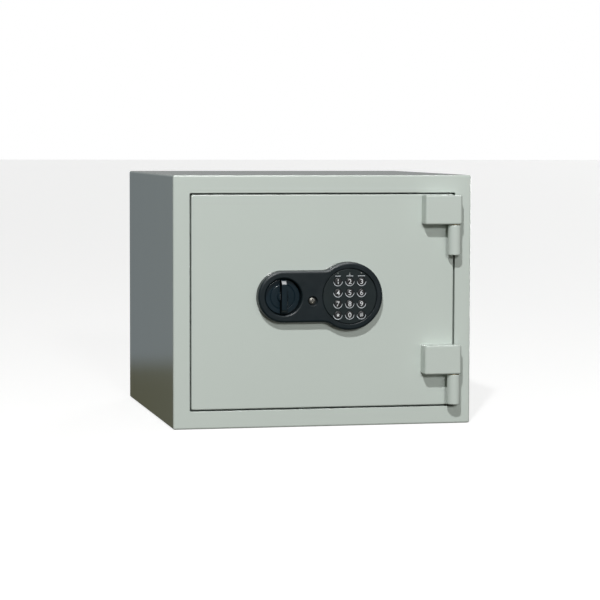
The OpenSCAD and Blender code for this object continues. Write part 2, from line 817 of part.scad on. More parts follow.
module lock_screws() {
    reach = case_half_w + 4;
    color(zinc) for (x = [pin_x - reach, pin_x + reach], z = [case_low + 8, case_high - 8]) {
        bar_y(3, plate_back + 3, plate_back + 5, x, z);
        bar_y(1.6, plate_back, plate_back + 3, x, z);
    }
}

module solenoid_coil() {
    color([0.72, 0.42, 0.2]) difference() {
        union() {
            bar_z(13.5, coil_low, coil_low + 2, pin_x, pin_depth);
            bar_z(12, coil_low, coil_high, pin_x, pin_depth);
            bar_z(13.5, coil_high - 2, coil_high, pin_x, pin_depth);
        }
        bar_z(pin_r + 0.4, coil_low - past, coil_high + past, pin_x, pin_depth);
    }
}

// Plunger whose tip drops into a notch of the bolt carriage
module locking_pin() {
    color(zinc) {
        bar_z(pin_r, arm_top + 0.8, coil_low + 20, pin_x, pin_depth);
        bar_z(pin_r + 2.2, collar_low, collar_low + 2, pin_x, pin_depth);
    }
}

// Coil spring between the solenoid and the pin's collar
module pin_spring() {
    turns = 4;
    wire = 0.5;
    low = collar_low + 2 + wire;
    rise = coil_low - wire - low;
    steps = turns * 12;
    color(zinc) cable([for (s = [0:steps]) [pin_x + 5.1 * cos(360 * s * turns / steps),
                       front_y + pin_depth + 5.1 * sin(360 * s * turns / steps),
                       low + rise * s / steps]], wire, 6);
}

// ---- Power and wiring ----

cable_x = keypad_x + 1;
cable_z = lock_z + 26;
case_side = pin_x + case_half_w;

// Routes of the two cables, as [x, depth, z]
keypad_route = [[cable_x, board_back, cable_z], [cable_x, 8, cable_z], [cable_x, 22, cable_z],
                [cable_x, 34, cable_z], [cable_x - 3, 42, cable_z + 5], [cable_x - 10, 46, cable_z + 15],
                [case_side + 6, 47, cable_z + 22], [case_side, 47, cable_z + 23]];
battery_route = [[box_x, 58, box_z + box_h / 2], [box_x - 1, 58, box_z + box_h / 2 + 8],
                 [box_x - 10, 57, box_z + box_h / 2 + 22], [box_x - 28, 56, box_z + box_h / 2 + 34],
                 [case_side + 22, 55, case_high - 24], [case_side + 8, 55, case_high - 22],
                 [case_side, 55, case_high - 22]];

module lock_cables() {
    color([0.1, 0.1, 0.1]) {
        cable([for (p = keypad_route) [p[0], front_y + p[1], p[2]]], 2);
        cable([for (p = battery_route) [p[0], front_y + p[1], p[2]]], 1.6);
    }
}

module battery_box() {
    color([0.14, 0.14, 0.15]) difference() {
        box(box_x - box_w / 2, box_x + box_w / 2, box_front, cover_depth - cover_sheet,
            box_z - box_h / 2, box_z + box_h / 2);
        box(box_x - box_w / 2 + 2, box_x + box_w / 2 - 2, box_front + 2, cover_depth,
            box_z - box_h / 2 + 2, box_z + box_h / 2 - 2);
    }
}

// Round cells side by side, each with its raised contact at one end, turned about one by one
module batteries() {
    depth = box_front + 2.2 + cell_r;
    color([0.75, 0.75, 0.7]) for (i = [0:3]) {
        x = box_x + (i - 1.5) * cell_pitch;
        up = i % 2 == 0 ? 1 : -1;
        bar_z(cell_r, box_z - cell_len / 2, box_z + cell_len / 2, x, depth);
        bar_z(2.7, box_z + up * cell_len / 2 - 0.9, box_z + up * cell_len / 2 + 0.9, x, depth);
    }
}

// Sliding lid over the battery window, with finger ridges
module battery_lid() {
    front = cover_depth + lid_play;
    color([0.2, 0.21, 0.22]) {
        box(box_x - lid_w / 2, box_x + lid_w / 2, front, front + 2, box_z - lid_h / 2, box_z + lid_h / 2);
        for (k = [0:3])
            box(box_x - 15, box_x + 15, front + 2, front + 3,
                box_z + lid_h / 2 - 18 + 3.5 * k, box_z + lid_h / 2 - 16.5 + 3.5 * k);
    }
}

outer_shell();
back_panel();
body_insulation();
door_frame();
inner_liner();
strike_boxes();
hinge_knuckles();
hinge_pins();
hinge_washers();
anchor_sleeves();
shelf();
shelf_brackets();
floor_mat();
door_skin();
door_insulation();
door_back_plate();
door_seal();
hinge_blocks();
bolt_guides();
fixed_bolts();
guide_studs();
inner_cover();
cover_posts();
cover_screws();
escutcheon();
escutcheon_screw();
keypad_fascia();
contact_mat();
keypad_board();
indicator_lenses();
spindle_bush();
lock_case();
lock_screws();
solenoid_coil();
lock_cables();
battery_box();
batteries();
battery_lid();
knob();
spindle();
crank();
spindle_clip();
bolt_carriage();
locking_bolts();
bolt_nuts();
locking_pin();
pin_spring();
key(0);  // key_1
key(1);  // key_2
key(2);  // key_3
key(3);  // key_4
key(4);  // key_5
key(5);  // key_6
key(6);  // key_7
key(7);  // key_8
key(8);  // key_9
key(9);  // key_star
key(10);  // key_0
key(11);  // key_hash
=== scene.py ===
"""Looks of the in-room safe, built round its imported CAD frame.

Shapes are worked out in millimetres in the row frame: +X right, +Y back, +Z up, base on z = 0.
A "depth" is measured back from the front face, so it is negative in front of the door.
"""

import math

import bmesh
import bpy
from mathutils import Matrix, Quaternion, Vector

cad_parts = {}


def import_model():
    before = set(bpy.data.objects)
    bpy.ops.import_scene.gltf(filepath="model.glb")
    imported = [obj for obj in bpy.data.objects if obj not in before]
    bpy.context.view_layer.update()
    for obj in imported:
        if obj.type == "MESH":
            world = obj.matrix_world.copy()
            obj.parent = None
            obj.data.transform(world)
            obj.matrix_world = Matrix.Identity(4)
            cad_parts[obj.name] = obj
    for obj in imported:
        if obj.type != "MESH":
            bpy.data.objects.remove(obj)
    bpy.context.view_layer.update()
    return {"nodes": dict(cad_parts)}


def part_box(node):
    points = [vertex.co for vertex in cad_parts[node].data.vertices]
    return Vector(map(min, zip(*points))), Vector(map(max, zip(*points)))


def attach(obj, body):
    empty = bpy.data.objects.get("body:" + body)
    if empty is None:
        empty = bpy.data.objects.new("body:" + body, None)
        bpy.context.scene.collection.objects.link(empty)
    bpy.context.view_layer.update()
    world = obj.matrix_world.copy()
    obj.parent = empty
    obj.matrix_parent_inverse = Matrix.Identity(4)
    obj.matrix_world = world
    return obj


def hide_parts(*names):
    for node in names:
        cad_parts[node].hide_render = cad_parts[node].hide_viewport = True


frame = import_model()

MM = 0.001

# ---- Places and sizes from the CAD frame, in millimetres ----


def cad(node):
    """Lowest and highest corner of a CAD node."""
    low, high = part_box(node)
    return low / MM, high / MM


SHELL_LOW, SHELL_HIGH = cad("outer_shell")
FRONT = SHELL_LOW.y
WIDTH = SHELL_HIGH.x - SHELL_LOW.x
DEPTH = SHELL_HIGH.y - SHELL_LOW.y
HEIGHT = SHELL_HIGH.z
SHEET = 2.0
FRAME_SIDE = 23.5
FRAME_TOP = 25.0
SHELL_CORNER = 3.0

DOOR_LOW, DOOR_HIGH = cad("door_skin")
DOOR_RIM_DEPTH = 12.0
DOOR_STEP = 1.5
DOOR_BACK = DOOR_HIGH.y - FRONT
DOOR_PLATE = 3.0

PIN_LOW, PIN_HIGH = cad("hinge_pins")
HINGE_X = (PIN_LOW.x + PIN_HIGH.x) / 2
HINGE_Y = (PIN_LOW.y + PIN_HIGH.y) / 2
HINGE_FORWARD = 12.5    # from the front face to the axis
HINGE_AXIS = (HINGE_X, HINGE_Y - FRONT)
PIN_R = (PIN_HIGH.x - PIN_LOW.x) / 2
BLOCK_LOW, BLOCK_HIGH = cad("hinge_blocks")
BLOCK_H = 41.5
BLOCK_LEFT, BLOCK_RIGHT, BLOCK_FRONT, BLOCK_TURN_R = 45, 9, 10.5, 12    # from the hinge axis
BLOCK_BASES = (BLOCK_LOW.z, BLOCK_HIGH.z - BLOCK_H)
KNUCKLE_LOW, KNUCKLE_HIGH = cad("hinge_knuckles")
KNUCKLE_H = 42.5
KNUCKLE_R = 9.5
KNUCKLE_WEB = 5         # from the axis to the left side of the web behind it
KNUCKLE_BASES = (KNUCKLE_LOW.z, KNUCKLE_HIGH.z - KNUCKLE_H)

SPINDLE_LOW, SPINDLE_HIGH = cad("spindle")
KNOB_X = (SPINDLE_LOW.x + SPINDLE_HIGH.x) / 2
LOCK_Z = (SPINDLE_LOW.z + SPINDLE_HIGH.z) / 2
FASCIA_LOW, FASCIA_HIGH = cad("keypad_fascia")
KEYPAD_X = (FASCIA_LOW.x + FASCIA_HIGH.x) / 2
FASCIA_R = (FASCIA_HIGH.x - FASCIA_LOW.x) / 2
FASCIA_DEPTH = FASCIA_LOW.y - FRONT
SEAT_DEPTH = FASCIA_HIGH.y - FRONT
LOBE_PITCH = KEYPAD_X - KNOB_X
ESC_LOW, ESC_HIGH = cad("escutcheon")
ESC_H = FRONT - ESC_LOW.y
SMALL_LOBE_R = KNOB_X - ESC_LOW.x
BIG_LOBE_R = ESC_HIGH.x - KEYPAD_X
NECK_R = 20.0
DISH_R = 26.0
FASCIA_GAP = 1.0
LEDGE_R = 38.0
SCREW_LOW, SCREW_HIGH = cad("escutcheon_screw")
SCREW_X = (SCREW_LOW.x + SCREW_HIGH.x) / 2
SCREW_Z = (SCREW_LOW.z + SCREW_HIGH.z) / 2
LENS_LOW, LENS_HIGH = cad("indicator_lenses")
KNOB_CENTRE, SCREW_CENTRE, KEYPAD_CENTRE = (KNOB_X, LOCK_Z), (SCREW_X, SCREW_Z), (KEYPAD_X, LOCK_Z)
LENS_Z = (LENS_LOW.z + LENS_HIGH.z) / 2
LENS_R = (LENS_HIGH.z - LENS_LOW.z) / 2
COVER_LOW, COVER_HIGH = cad("inner_cover")
COVER_DEPTH = 72.0
PLATE_BACK = 28.0
BOLT_DEPTH = 55.0
BOLT_Z = (110.0, 245.0)
COVER_SCREWS = [(x, z) for x in (-140, 145) for z in (68, HEIGHT - 68)]
ANCHOR_X = (-100, 100)
REAR_ANCHOR_Z = 235
LID_LOW, LID_HIGH = cad("battery_lid")
CELLS_LOW, CELLS_HIGH = cad("batteries")

# ---- Meshes ----


def arc(cx, cy, r, start, end, steps):
    """Points on an arc, in degrees, with both ends."""
    angles = [math.radians(start + (end - start) * i / steps) for i in range(steps + 1)]
    return [(cx + r * math.cos(a), cy + r * math.sin(a)) for a in angles]


def rounded_rect(x0, x1, z0, z1, r, steps=6):
    corners = ((x1 - r, z1 - r, 0), (x0 + r, z1 - r, 90), (x0 + r, z0 + r, 180), (x1 - r, z0 + r, 270))
    return [p for cx, cz, a in corners for p in arc(cx, cz, r, a, a + 90, steps)]


def at_depth(outline, depth):
    return [(x, FRONT + depth, z) for x, z in outline]


def inset_loop(low, high, inset, depth, r):
    """Rounded rectangle set in from the sides of a CAD node's box, at a depth."""
    return at_depth(rounded_rect(low.x + inset, high.x - inset, low.z + inset, high.z - inset, r), depth)


def fillet(r, steps=6):
    """(inset, rise) pairs of a rounded edge, from its side to its face."""
    return [(r * (1 - math.cos(math.radians(90 * i / steps))),
             r * (1 - math.sin(math.radians(90 * i / steps)))) for i in range(steps + 1)]


def fillet_outward(r, steps):
    """(extra radius, depth) pairs of a hole's rounded rim, from the face down to its wall."""
    return [(rise, inset) for inset, rise in fillet(r, steps)]


def rounded_mouth(r, edge, front, steps, past=3):
    """Start of a hole's profile: from in front of a face, over its rounded rim, to its wall."""
    return ([(0, front - past), (r + edge, front - past)]
            + [(r + x, front + d) for x, d in fillet_outward(edge, steps)])


def round_ends(low, high, r, steps=6):
    """(inset, place) pairs along a bar whose two ends are rounded."""
    pairs = fillet(r, steps)
    return [(i, low + rise) for i, rise in reversed(pairs)] + [(i, high - rise) for i, rise in pairs]


def put(name, data):
    obj = bpy.data.objects.new(name, data)
    bpy.context.scene.collection.objects.link(obj)
    return obj


class Builder:
    """Collects the vertices and faces of one piece."""

    def __init__(self):
        self.verts, self.faces, self.finish = [], [], []

    def add(self, verts, faces, finish=0):
        start = len(self.verts)
        self.verts += [tuple(v) for v in verts]
        self.faces += [[start + i for i in f] for f in faces]
        self.finish += [finish] * len(faces)
        return self

    def loft(self, loops, finish=0, ends=(True, True), joined=False):
        """Skin over closed loops of equal length. joined runs the last loop back to the first."""
        n = len(loops[0])
        count = len(loops)
        faces = []
        for j in range(count if joined else count - 1):
            a, b = j * n, (j + 1) % count * n
            faces += [(a + i, a + (i + 1) % n, b + (i + 1) % n, b + i) for i in range(n)]
        if not joined and ends[0]:
            faces.append(list(range(n))[::-1])
        if not joined and ends[1]:
            faces.append([(count - 1) * n + i for i in range(n)])
        return self.add([v for loop in loops for v in loop], faces, finish)

    def lathe(self, profile, centre, axis="y", steps=64, finish=0):
        """Turns (radius, place along the axis) pairs round an axis. A radius of 0 closes an end."""
        rims = [p for p in profile if p[0] > 0]
        loops = [[on_axis(r, 2 * math.pi * i / steps, t, centre, axis) for i in range(steps)]
                 for r, t in rims]
        self.loft(loops, finish, ends=(False, False), joined=profile[0][0] > 0 and profile[-1][0] > 0)
        start = len(self.verts) - len(rims) * steps
        for tip, rim in ((0, 0), (-1, len(rims) - 1)):
            if profile[tip][0] == 0:
                self.verts.append(on_axis(0, 0, profile[tip][1], centre, axis))
                peak = len(self.verts) - 1
                ring = [start + rim * steps + i for i in range(steps)]
                fan = [(ring[i], ring[(i + 1) % steps], peak) for i in range(steps)]
                self.faces += fan
                self.finish += [finish] * len(fan)
        return self

    def box(self, low, high, finish=0):
        loop = [(low[0], low[2]), (high[0], low[2]), (high[0], high[2]), (low[0], high[2])]
        return self.loft([[(x, y, z) for x, z in loop] for y in (low[1], high[1])], finish)

    def mesh(self, name):
        mesh = bpy.data.meshes.new(name)
        mesh.from_pydata([Vector(v) * MM for v in self.verts], [], self.faces)
        mesh.polygons.foreach_set("material_index", self.finish)
        cleaned = bmesh.new()
        cleaned.from_mesh(mesh)
        bmesh.ops.remove_doubles(cleaned, verts=cleaned.verts, dist=1e-6)
        bmesh.ops.recalc_face_normals(cleaned, faces=cleaned.faces)
        cleaned.to_mesh(mesh)
        cleaned.free()
        return mesh

    def object(self, name="part"):
        return put(name, self.mesh(name))


def on_axis(r, angle, t, centre, axis):
    """Point round an axis, whose centre is (x, z) along y, (depth, z) along x or (x, depth) along z."""
    u, v = centre[0] + r * math.cos(angle), centre[1] + r * math.sin(angle)
    if axis == "y":
        return (u, FRONT + t, v)
    if axis == "x":
        return (t, FRONT + u, v)
    return (u, FRONT + v, t)


def combine(obj, other, operation="DIFFERENCE"):
    """Boolean of two objects, applied to the first. The second is removed."""
    modifier = obj.modifiers.new("combine", "BOOLEAN")
    modifier.operation = operation
    modifier.solver = "EXACT"
    modifier.object = other
    graph = bpy.context.evaluated_depsgraph_get()
    made = bpy.data.meshes.new_from_object(obj.evaluated_get(graph))
    old = obj.data
    obj.modifiers.clear()
    obj.data = made
    made.name = old.name
    bpy.data.meshes.remove(old)
    bpy.data.objects.remove(other)
    return obj


def bore(obj, profile, centre, axis="y", steps=48):
    """Cuts away what a turned profile fills."""
    combine(obj, Builder().lathe(profile, centre, axis, steps).object())


def drill(obj, r, start, end, centre, axis="y", steps=48):
    """Plain round hole between two places along its axis."""
    bore(obj, [(0, start), (r, start), (r, end), (0, end)], centre, axis, steps)


def cross_recess(obj, x, z, arm, width, levels):
    """Cuts a screw's cross: two tapering slots, drawn as (scale, depth) levels."""
    for a, b in ((arm, width), (width, arm)):
        loops = [[(x + sx * a * scale, FRONT + d, z + sz * b * scale)
                  for sx, sz in ((-1, -1), (1, -1), (1, 1), (-1, 1))] for scale, d in levels]
        combine(obj, Builder().loft(loops).object())


def round_edges(obj, width, segments, angle):
    edge = obj.modifiers.new("edge", "BEVEL")
    edge.width = width * MM
    edge.segments = segments
    edge.limit_method = "ANGLE"
    edge.angle_limit = math.radians(angle)


def piece(shape, node, body, slot, *looks, angle=32, bevel=0.0, replaces=True):
    """Turns a Builder or an object into a finished piece on a CAD body, in place of a CAD node."""
    obj = shape.object() if isinstance(shape, Builder) else shape
    mesh = obj.data
    obj.name = mesh.name = node + "_visual" if replaces else node
    for look in looks:
        mesh.materials.append(finish[look])
    mesh.polygons.foreach_set("use_smooth", [True] * len(mesh.polygons))
    mesh.set_sharp_from_angle(angle=math.radians(angle))
    if bevel:
        round_edges(obj, bevel, 3, angle)
    weighted = obj.modifiers.new("normals", "WEIGHTED_NORMAL")
    weighted.keep_sharp = not bevel
    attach(obj, body)
    if replaces:
        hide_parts(node)
    return obj


def dress(node, look, bevel):
    """Gives a CAD node its finish, with its edges broken as a press, a saw or a mould leaves them."""
    obj = frame["nodes"][node]
    obj.data.materials.clear()
    obj.data.materials.append(finish[look])
    obj.data.polygons.foreach_set("use_smooth", [True] * len(obj.data.polygons))
    obj.data.polygons.foreach_set("material_index", [0] * len(obj.data.polygons))
    weld = obj.modifiers.new("weld", "WELD")
    weld.merge_threshold = 0.004 * MM
    if bevel:
        round_edges(obj, bevel, 2, 32)
    obj.modifiers.new("normals", "WEIGHTED_NORMAL")


# ---- Materials ----


def tint(colour, amount):
    return tuple(min(c * amount, 1.0) for c in colour)


def add_node(tree, kind, inputs=(), **settings):
    """New node, with its settings and with a value or another node's output on each named input."""
    node = tree.nodes.new(kind)
    for key, value in settings.items():
        setattr(node, key, value)
    for key, value in dict(inputs).items():
        feed(tree, node.inputs[key], value)
    return node


def feed(tree, socket, value):
    if hasattr(value, "links"):
        tree.links.new(value, socket)
    elif socket.type == "RGBA" and len(value) == 3:
        socket.default_value = (*value, 1)
    else:
        socket.default_value = value


def mix_colours(tree, factor, a, b):
    node = add_node(tree, "ShaderNodeMix", {"Factor": factor}, data_type="RGBA")
    for socket, colour in zip([s for s in node.inputs if s.type == "RGBA"], (a, b)):
        feed(tree, socket, colour)
    return [s for s in node.outputs if s.type == "RGBA"][0]


class Finish:
    """A procedural material under construction, in row-frame coordinates."""

    def __init__(self, name, roughness=0.4, metallic=0.0):
        self.material = bpy.data.materials.new(name)
        self.material.use_nodes = True
        self.tree = self.material.node_tree
        self.shader = self.tree.nodes["Principled BSDF"]
        self.set(Metallic=metallic, Roughness=roughness)
        self.place = self.add("ShaderNodeTexCoord").outputs["Object"]
        self.normal = None

    def add(self, kind, inputs=(), **settings):
        return add_node(self.tree, kind, inputs, **settings)

    def noise(self, scale, detail=2.0, roughness=0.5, stretch=None, distortion=0.0):
        place = self.place
        if stretch:
            place = self.add("ShaderNodeMapping", {"Vector": place, "Scale": stretch}).outputs["Vector"]
        inputs = {"Vector": place, "Scale": scale, "Detail": detail, "Roughness": roughness,
                  "Distortion": distortion}
        return self.add("ShaderNodeTexNoise", inputs).outputs["Fac"]

    def cells(self, scale):
        return self.add("ShaderNodeTexVoronoi", {"Vector": self.place, "Scale": scale}).outputs["Distance"]

    def bands(self, scale, axis):
        inputs = {"Vector": self.place, "Scale": scale}
        return self.add("ShaderNodeTexWave", inputs, bands_direction=axis).outputs["Fac"]

    def spread(self, value, low, high, to_low=0.0, to_high=1.0):
        inputs = {"Value": value, "From Min": low, "From Max": high, "To Min": to_low, "To Max": to_high}
        return self.add("ShaderNodeMapRange", inputs, interpolation_type="SMOOTHSTEP").outputs["Result"]

    def maths(self, operation, a, b=0.0):
        return self.add("ShaderNodeMath", {0: a, 1: b}, operation=operation).outputs["Value"]

    def mix(self, factor, a, b):
        return mix_colours(self.tree, factor, a, b)

    def along(self, axis):
        return self.add("ShaderNodeSeparateXYZ", {"Vector": self.place}).outputs[axis]

    def edges(self, radius, low=0.02, high=0.25):
        """1 along convex and concave edges, from how far a rounded normal turns away from the true one."""
        bevel = self.add("ShaderNodeBevel", {"Radius": radius * MM}, samples=4).outputs["Normal"]
        true = self.add("ShaderNodeNewGeometry").outputs["Normal"]
        dot = self.add("ShaderNodeVectorMath", {0: bevel, 1: true}, operation="DOT_PRODUCT").outputs["Value"]
        return self.spread(self.maths("SUBTRACT", 1.0, dot), low, high)

    def bump(self, height, distance, strength=1.0):
        inputs = {"Strength": strength, "Distance": distance * MM, "Height": height}
        if self.normal:
            inputs["Normal"] = self.normal
        self.normal = self.add("ShaderNodeBump", inputs).outputs["Normal"]
        return self.set(Normal=self.normal)

    def colour(self, value):
        return self.set(Base_Color=value)

    def rough(self, value):
        return self.set(Roughness=value)

    def set(self, **values):
        for key, value in values.items():
            feed(self.tree, self.shader.inputs[key.replace("_", " ")], value)
        return self


def powder_coat(name, colour, roughness, peel, specks=0.008):
    """Baked powder paint: a soft orange peel, faint clouding and a thinner coat along its edges."""
    m = Finish(name)
    clouds = m.spread(m.noise(7, 3, 0.55), 0.3, 0.7)
    shade = m.mix(clouds, tint(colour, 0.99), tint(colour, 1.01))
    grain = m.spread(m.noise(900, 2, 0.6), 0.35, 0.65)
    shade = m.mix(grain, tint(colour, 1 - specks), shade)
    thin = m.maths("MULTIPLY", m.edges(0.6), m.spread(m.noise(160, 4, 0.6), 0.42, 0.62))
    shade = m.mix(m.maths("MULTIPLY", thin, 0.35), shade, tint(colour, 1.12))
    m.colour(shade)
    m.rough(m.spread(m.noise(14, 4, 0.6), 0.25, 0.75, roughness * 0.85, roughness * 1.15))
    m.bump(m.noise(520, 2, 0.45), peel)
    m.bump(m.noise(95, 2, 0.5), peel * 2)
    return m.material


def plated_steel(name, colour, roughness, brush=(1, 1, 14), blotch=0.10):
    """Zinc plate or bare steel: fine drawn lines, blotches of tone and brighter rubbed edges."""
    m = Finish(name, metallic=1.0)
    patches = m.spread(m.noise(38, 4, 0.6, distortion=0.6), 0.3, 0.7)
    shade = m.mix(patches, tint(colour, 1 - blotch), tint(colour, 1 + blotch * 0.4))
    lines = m.noise(420, 3, 0.6, stretch=brush)
    shade = m.mix(m.spread(lines, 0.35, 0.65, 0.0, 0.35), shade, tint(colour, 0.86))
    shade = m.mix(m.maths("MULTIPLY", m.edges(0.5), 0.5), shade, tint(colour, 1.2))
    m.colour(shade)
    m.rough(m.spread(m.noise(60, 4, 0.6), 0.2, 0.8, roughness - 0.07, roughness + 0.09))
    m.bump(lines, 0.012)
    return m.material


def moulded_plastic(name, colour, roughness, grain=0.012, grain_scale=2600, dust=0.03, coat=0.0,
                    gloss=0.5):
    """Moulded plastic with a spark-eroded grain, faint flow clouding and handled edges."""
    m = Finish(name)
    clouds = m.spread(m.noise(26, 3, 0.55), 0.3, 0.7)
    shade = m.mix(clouds, tint(colour, 0.9), tint(colour, 1.1))
    worn = m.maths("MULTIPLY", m.edges(0.5), m.spread(m.noise(210, 3, 0.6), 0.35, 0.6))
    shade = m.mix(m.maths("MULTIPLY", worn, 0.4), shade, tint(colour, 1.8))
    haze = m.maths("MULTIPLY", m.spread(m.noise(1500, 2, 0.6), 0.55, 0.75), dust)
    shade = m.mix(haze, shade, (0.25, 0.25, 0.24))
    m.colour(shade)
    m.rough(m.spread(m.noise(45, 4, 0.6), 0.25, 0.75, roughness - 0.05, roughness + 0.06))
    m.bump(m.noise(grain_scale, 2, 0.5), grain)
    return m.set(Coat_Weight=coat, Coat_Roughness=0.16, Specular_IOR_Level=gloss).material


def printed(name, colour):
    """Pad-printed ink with a little unevenness in its cover."""
    m = Finish(name)
    cover = m.spread(m.noise(1400, 3, 0.6), 0.3, 0.6)
    m.colour(m.mix(cover, tint(colour, 0.86), colour))
    m.rough(m.spread(m.noise(500, 2), 0.3, 0.7, 0.38, 0.52))
    m.bump(m.noise(1800, 2), 0.01)
    return m.material


def bare_chrome(name, colour, roughness):
    """Ground and polished bar: lines round the bar, and light rub marks along it."""
    m = Finish(name, metallic=1.0)
    turned = m.noise(1500, 3, 0.6, stretch=(3.0, 0.15, 0.15))
    rubbed = m.spread(m.noise(260, 4, 0.65, stretch=(0.08, 1, 1)), 0.52, 0.72)
    m.colour(m.mix(m.maths("MULTIPLY", rubbed, 0.35), colour, tint(colour, 0.72)))
    m.rough(m.spread(rubbed, 0.0, 1.0, roughness, roughness + 0.16))
    m.bump(turned, 0.006)
    return m.material


def brass(name):
    colour = (0.50, 0.36, 0.17)
    m = Finish(name, metallic=1.0)
    tarnish = m.spread(m.noise(120, 5, 0.65), 0.4, 0.72)
    m.colour(m.mix(m.maths("MULTIPLY", tarnish, 0.6), colour, (0.20, 0.14, 0.07)))
    m.rough(m.spread(tarnish, 0.0, 1.0, 0.24, 0.45))
    m.bump(m.noise(900, 3, 0.6), 0.01)
    return m.material


def felt(name):
    """Needled felt: crossed fibres, a few pale ones, and a soft sheen."""
    m = Finish(name, roughness=0.95)
    one_way = m.noise(700, 4, 0.7, stretch=(0.25, 1, 1), distortion=1.5)
    other_way = m.noise(700, 4, 0.7, stretch=(1, 0.25, 1), distortion=1.5)
    fibres = m.maths("MAXIMUM", one_way, other_way)
    shade = m.mix(m.spread(fibres, 0.4, 0.7), (0.010, 0.011, 0.013), (0.042, 0.045, 0.052))
    shade = m.mix(m.spread(one_way, 0.68, 0.76, 0, 0.5), shade, (0.16, 0.16, 0.17))
    m.colour(shade).bump(fibres, 0.35, 0.8).bump(m.noise(60, 3), 0.5, 0.5)
    return m.set(Sheen_Weight=0.35, Sheen_Roughness=0.5).material


def rubber(name, colour, scale=1800):
    m = Finish(name)
    bloom = m.spread(m.noise(90, 4, 0.6), 0.45, 0.75)
    m.colour(m.mix(m.maths("MULTIPLY", bloom, 0.5), colour, tint(colour, 1.9)))
    m.rough(m.spread(bloom, 0.0, 1.0, 0.62, 0.82))
    m.bump(m.noise(scale, 3, 0.6), 0.03)
    return m.material


def mineral_fill(name):
    """Cast gypsum fill: pale, chalky and full of small pores."""
    m = Finish(name, roughness=0.95)
    pores = m.spread(m.cells(420), 0.12, 0.3)
    shade = m.mix(m.spread(m.noise(22, 4, 0.6), 0.3, 0.7), (0.40, 0.37, 0.32), (0.56, 0.53, 0.47))
    shade = m.mix(pores, (0.22, 0.20, 0.17), shade)
    m.colour(shade).bump(pores, 0.4).bump(m.noise(160, 5, 0.65), 0.5)
    return m.material


def laminate(name):
    """Printed board: solder mask with tracks showing through as paler lines."""
    m = Finish(name, roughness=0.35)
    tracks = m.spread(m.bands(55, "X"), 0.72, 0.8)
    crossing = m.spread(m.bands(40, "Z"), 0.78, 0.86)
    lines = m.maths("MAXIMUM", tracks, crossing)
    shade = m.mix(lines, (0.012, 0.075, 0.035), (0.03, 0.16, 0.07))
    m.colour(m.mix(m.spread(m.noise(70, 3), 0.3, 0.7), tint((0.012, 0.075, 0.035), 0.9), shade))
    return m.bump(lines, 0.03).material


def winding(name):
    """Enamelled copper wire in close turns, with a band of tape's warmer tone here and there."""
    m = Finish(name, roughness=0.3)
    turns = m.bands(1400, "Z")
    shade = m.mix(m.spread(turns, 0.1, 0.8), (0.12, 0.035, 0.012), (0.50, 0.20, 0.07))
    m.colour(m.mix(m.spread(m.noise(80, 3), 0.35, 0.7, 0, 0.5), shade, (0.42, 0.15, 0.05)))
    return m.set(Metallic=0.7).bump(turns, 0.12).material


def cell_wrap(name):
    """Shrink-wrapped dry cell: a dark sleeve with one copper band and no print."""
    m = Finish(name, roughness=0.28)
    height = m.along("Z")
    middle = (CELLS_LOW.z + CELLS_HIGH.z) / 2 * MM
    band_low = middle + 10.5 * MM
    band = m.spread(height, band_low, band_low + 0.2 * MM)
    shade = m.mix(band, (0.018, 0.019, 0.021), (0.45, 0.22, 0.08))
    shade = m.mix(m.spread(m.noise(90, 3), 0.3, 0.7, 0, 0.12), shade, (0.4, 0.4, 0.4))
    m.colour(shade).bump(m.noise(70, 3, 0.6), 0.05)
    return m.set(Coat_Weight=0.6, Coat_Roughness=0.1).material


PAINT = (0.580, 0.640, 0.600)
finish = {
    "shell": powder_coat("shell_paint", PAINT, 0.075, 0.0012),
    "door": powder_coat("door_paint", PAINT, 0.085, 0.0015),
    "hinge": powder_coat("hinge_paint", PAINT, 0.10, 0.002),
    "liner": powder_coat("liner_paint", (0.46, 0.48, 0.47), 0.42, 0.03, specks=0.03),
    "zinc": plated_steel("zinc_plate", (0.60, 0.61, 0.62), 0.30),
    "screw": plated_steel("screw_steel", (0.33, 0.32, 0.29), 0.32, blotch=0.25),
    "pin": plated_steel("pin_steel", (0.48, 0.48, 0.49), 0.28),
    "bolt": bare_chrome("bolt_steel", (0.66, 0.67, 0.68), 0.12),
    "brass": brass("bush_brass"),
    "felt": felt("mat_felt"),
    "seal": rubber("seal_rubber", (0.020, 0.020, 0.021)),
    "silicone": rubber("silicone_rubber", (0.07, 0.07, 0.075)),
    "fill": mineral_fill("fire_fill"),
    "escutcheon": moulded_plastic("escutcheon_plastic", (0.0070, 0.0130, 0.0160), 0.36, dust=0.01,
                                  gloss=0.27),
    "fascia": moulded_plastic("fascia_plastic", (0.0060, 0.0129, 0.0142), 0.46, dust=0.008, gloss=0.27),
    "knob": moulded_plastic("knob_plastic", (0.0045, 0.0145, 0.0220), 0.30, grain=0.006, dust=0.0, coat=0.9,
                            gloss=0.15),
    # Darker, matt copy of the knob plastic for the blade's two sides: painted shade on the sides.
    "knob_side_painted_shade": moulded_plastic("knob_side_painted_shade", (0.0022, 0.0030, 0.0036), 0.62, dust=0.0, gloss=0.05),
    "key": moulded_plastic("key_plastic", (0.0040, 0.0050, 0.0060), 0.42, grain=0.008, dust=0.0),
    "digit": printed("digit_print", (0.70, 0.72, 0.74)),
    # Light grey ink: print for the bars under the lights, and a painted highlight for the crescents under the
    # keys.
    "print_and_highlight": printed("print_and_painted_highlight", (0.60, 0.64, 0.68)),
    "case": moulded_plastic("case_plastic", (0.020, 0.021, 0.022), 0.5, grain=0.02, grain_scale=1500),
    "lens": moulded_plastic("lens_plastic", (0.20, 0.22, 0.21), 0.12, grain=0.002, dust=0.0),
    "board": laminate("board_laminate"),
    "coil": winding("coil_winding"),
    "cable": moulded_plastic("cable_jacket", (0.012, 0.012, 0.012), 0.38, grain=0.01, dust=0.01),
    "cell": cell_wrap("cell_wrap"),
    "cell_end": plated_steel("cell_end", (0.66, 0.65, 0.62), 0.25),
}

# ---- Cabinet ----


